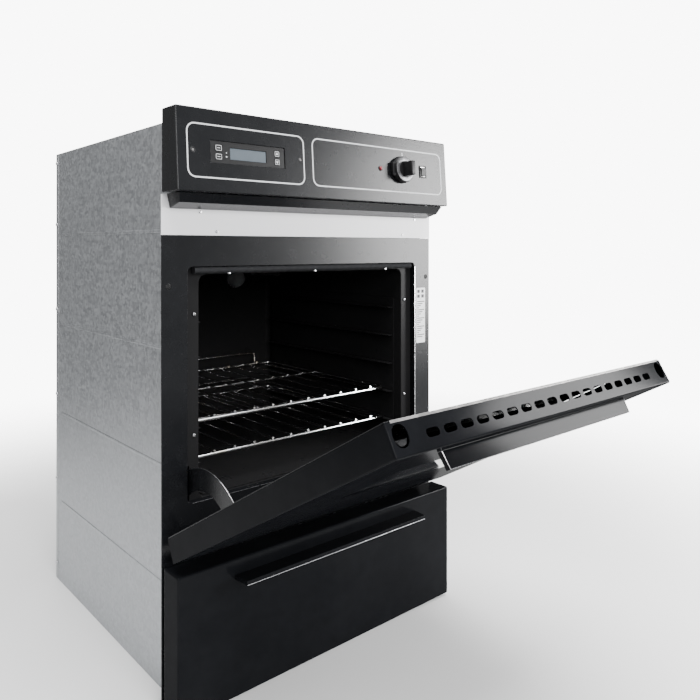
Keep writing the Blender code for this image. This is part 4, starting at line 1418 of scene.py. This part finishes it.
class MESH_OT_oven_panel(bpy.types.Operator):
    """Adds the leaning control panel, its printed outlines and its screws"""

    bl_idname = "mesh.oven_panel"
    bl_label = "Control Panel"

    def execute(self, context):
        refined("control_panel", "black_enamel", round_edge=0.0003)
        refined("vent_trim", "black_enamel", round_edge=0.0003)
        rings = [
            panel_ring((-11.33, -2.53), (32.23, 35.57), 0.55, 0.09),
            panel_ring((-1.85, 11.35), (32.23, 35.57), 0.55, 0.09),
        ]
        add_piece("panel_outlines", merged(*rings), "cabinet", "pale_print", matrix=PANEL)
        spots = [on_panel(x, z) for x, z in ((-10.92, 33.9), (-2.86, 33.93))]
        rim = [(0.07, 0.002), (0.15, 0.002), (0.165, 0.012), (0.18, 0.002)]
        rim += [(0.18, -0.002), (0.07, -0.002), (0.07, 0.002)]
        dimples = [placed(turned(rim, 28), spot) for spot in spots]
        add_piece("panel_dimples", merged(*dimples), "cabinet", "black_plastic")
        heads = [placed(screw_head(0.075, 0.02), spot) for spot in spots]
        add_piece("panel_screws", merged(*heads), "cabinet", "dull_steel_and_painted_highlight")
        mark = cube((-0.045, -0.13, -0.001), (0.045, 0.13, 0.004))
        add_piece("knob_mark", mark, "cabinet", "pale_print", matrix=on_panel(6.97, 35.18))
        return {"FINISHED"}


class MESH_OT_oven_clock(bpy.types.Operator):
    """Adds the clock: its bezel, its display and its four keys"""

    bl_idname = "mesh.oven_clock"
    bl_label = "Clock"

    def execute(self, context):
        refined("clock_bezel", "black_plastic", round_edge=0.0003)
        keep("clock_module", "black_plastic")
        refined("clock_window", "display", round_edge=0.0004)
        dots = []
        for height, size in ((33.9, 0.035), (33.66, 0.05)):
            dot = turned([(0, 0.006), (size, 0.006), (size, -0.002), (0, -0.002)], 16)
            dots.append(placed(dot, on_panel(-8.58, height, 0.05)))
        add_piece("clock_dots", merged(*dots), "cabinet", "pale_print")
        keys = {
            "left_upper": (-9.13, 34.17, 0.52),
            "left_lower": (-9.13, 33.63, 0.52),
            "right_upper": (-4.76, 34.17, 0.44),
            "right_lower": (-4.76, 33.63, 0.44),
        }
        for name, (x, height, wide) in keys.items():
            node = f"clock_key_{name}"
            refined(node, "black_plastic", round_edge=0.0003)
            z = [up_panel(height) - 0.17, up_panel(height) + 0.17]
            ring = outline_ring((x - wide / 2 + 0.05, x + wide / 2 - 0.05), z, 0.06, 0.028, 0.004)
            bmesh.ops.translate(ring, vec=(0, KEY_FACE, 0), verts=ring.verts)
            mark = bmesh.new()
            if name.startswith("right"):
                bmesh.ops.create_circle(mark, cap_ends=True, segments=3, radius=0.115)
                turn = 0.0 if name == "right_upper" else math.pi
                placed(mark, Matrix.Rotation(turn, 4, "Z"))
            else:
                bmesh.ops.create_grid(mark, x_segments=1, y_segments=1, size=0.5)
                bmesh.ops.scale(mark, vec=(0.2, 0.035, 1), verts=mark.verts)
            bmesh.ops.solidify(mark, geom=mark.faces[:], thickness=0.004)
            spot = Matrix.Translation((x, KEY_FACE, up_panel(height)))
            placed(mark, spot @ Matrix.Rotation(math.pi / 2, 4, "X"))
            add_piece(f"{node}_print", merged(ring, mark), node, "pale_print", matrix=PANEL)
        return {"FINISHED"}


class MESH_OT_oven_knob(bpy.types.Operator):
    """Adds the thermostat knob with its silver dial"""

    bl_idname = "mesh.oven_knob"
    bl_label = "Thermostat Knob"

    def execute(self, context):
        spot = on_panel(*KNOB)
        skirt = turned(
            [(0, 0.05), (1.0, 0.05), (1.035, 0.09), (1.03, 0.14)]
            + [(0.985, 0.36), (0.965, 0.42), (0.94, 0.455), (0, 0.455)],
            72,
        )
        tab = soft_cube((-1.17, -0.5, 0.07), (-0.8, 0.5, 0.32), 0.05)
        shaft = turned([(0, -0.85), (0.12, -0.85), (0.12, 0.1), (0, 0.1)], 24)
        base = merged(skirt, tab, shaft)
        add_piece("knob_skirt_shape", base, "thermostat_knob", "black_plastic", ("knob_skirt",), spot)
        dial = turned(
            [(0.62, 0.44), (0.62, 0.468), (0.64, 0.476), (0.9, 0.476)]
            + [(0.915, 0.468), (0.915, 0.44), (0.62, 0.44)],
            72,
        )
        add_piece("knob_dial", dial, "thermostat_knob", "silver_dial", matrix=spot)
        marks = []
        for step in range(31):
            angle = math.radians(150 - 10 * step)
            long = 0.07 if step % 4 == 0 else 0.035
            tick = cube((0.9 - long, -0.011, 0.4765), (0.9, 0.011, 0.4795))
            marks.append(placed(tick, Matrix.Rotation(angle + math.pi / 2, 4, "Z")))
        for index in range(8):
            angle = math.radians(150 - 40 * index)
            text = lettering(str(200 + 50 * index), 0.17, 0.0015)
            turn = Matrix.Rotation(angle, 4, "Z") @ Matrix.Translation((0, 0.745, 0.478))
            marks.append(placed(text, turn))
        add_piece("dial_marks", merged(*marks), "thermostat_knob", "dark_print", matrix=spot)
        bm = cube((-0.24, -0.56, 0.46), (0.24, 0.56, GRIP_OUT))
        for vert in bm.verts:
            if vert.co.z > 1:
                vert.co.x *= 0.82
                vert.co.y *= 0.95
        rounded(bm, 0.07, 4)
        add_piece("knob_grip_shape", bm, "thermostat_knob", "black_plastic", ("knob_grip",), spot)
        face = thicken(round_rect((-0.13, 0.13), (-0.44, 0.44), 0.1), 0.006)
        placed(face, Matrix.Translation((0, 0, GRIP_OUT - 0.0025)) @ Matrix.Rotation(-math.pi / 2, 4, "X"))
        add_piece("knob_face", face, "thermostat_knob", "grip_end", matrix=spot)
        return {"FINISHED"}


class MESH_OT_oven_switch(bpy.types.Operator):
    """Adds the lamp switch and the red indicator"""

    bl_idname = "mesh.oven_switch"
    bl_label = "Switch And Indicator"

    def execute(self, context):
        refined("switch_bezel", "black_plastic", round_edge=0.0004)
        refined("light_rocker", "black_plastic", round_edge=0.0005)
        spot = on_panel(4.6, 33.94)
        lens = turned(
            [(0, -0.5), (0.15, -0.5), (0.15, 0.02), (0.148, 0.05), (0.12, 0.1), (0.07, 0.13), (0, 0.14)], 32
        )
        add_piece("indicator_dome", lens, "cabinet", "red_lens", ("indicator_lens",), spot)
        collar = turned(
            [(0.152, 0.0), (0.2, 0.0), (0.2, 0.03), (0.185, 0.05), (0.16, 0.05), (0.152, 0.04), (0.152, 0.0)],
            32,
        )
        add_piece("indicator_collar", collar, "cabinet", "black_plastic", matrix=spot)
        return {"FINISHED"}


# ---------------------------------------------------------------- the panel in the sidebar

BUILDERS = (
    SCENE_OT_oven_stage,
    MESH_OT_oven_case,
    MESH_OT_oven_front,
    MESH_OT_oven_rail,
    MESH_OT_oven_gasket,
    MESH_OT_oven_cavity,
    MESH_OT_oven_racks,
    MESH_OT_oven_burner,
    MESH_OT_oven_blanket,
    MESH_OT_oven_broiler,
    MESH_OT_oven_door,
    MESH_OT_broiler_door,
    MESH_OT_oven_panel,
    MESH_OT_oven_clock,
    MESH_OT_oven_knob,
    MESH_OT_oven_switch,
)


class VIEW3D_PT_wall_oven(bpy.types.Panel):
    """Lists the oven's pieces and its settings"""

    bl_idname = "VIEW3D_PT_wall_oven"
    bl_label = "Wall Oven"
    bl_space_type = "VIEW_3D"
    bl_region_type = "UI"
    bl_category = "Wall Oven"

    def draw(self, context):
        layout = self.layout
        for group in (context.scene.wall_oven, context.scene.stage):
            column = layout.column(align=True)
            for name in group.__annotations__:
                column.prop(group, name)
        buttons = layout.column(align=True)
        for builder in BUILDERS:
            buttons.operator(builder.bl_idname)


CLASSES = (WallOvenSettings, StageSettings, *BUILDERS, VIEW3D_PT_wall_oven)


def register():
    for made in CLASSES:
        bpy.utils.register_class(made)
    bpy.types.Scene.wall_oven = PointerProperty(type=WallOvenSettings)
    bpy.types.Scene.stage = PointerProperty(type=StageSettings)


def unregister():
    del bpy.types.Scene.stage
    del bpy.types.Scene.wall_oven
    for made in reversed(CLASSES):
        bpy.utils.unregister_class(made)


def main():
    register()
    for builder in BUILDERS:
        group, name = builder.bl_idname.split(".")
        getattr(getattr(bpy.ops, group), name)()


if __name__ == "__main__":
    main()
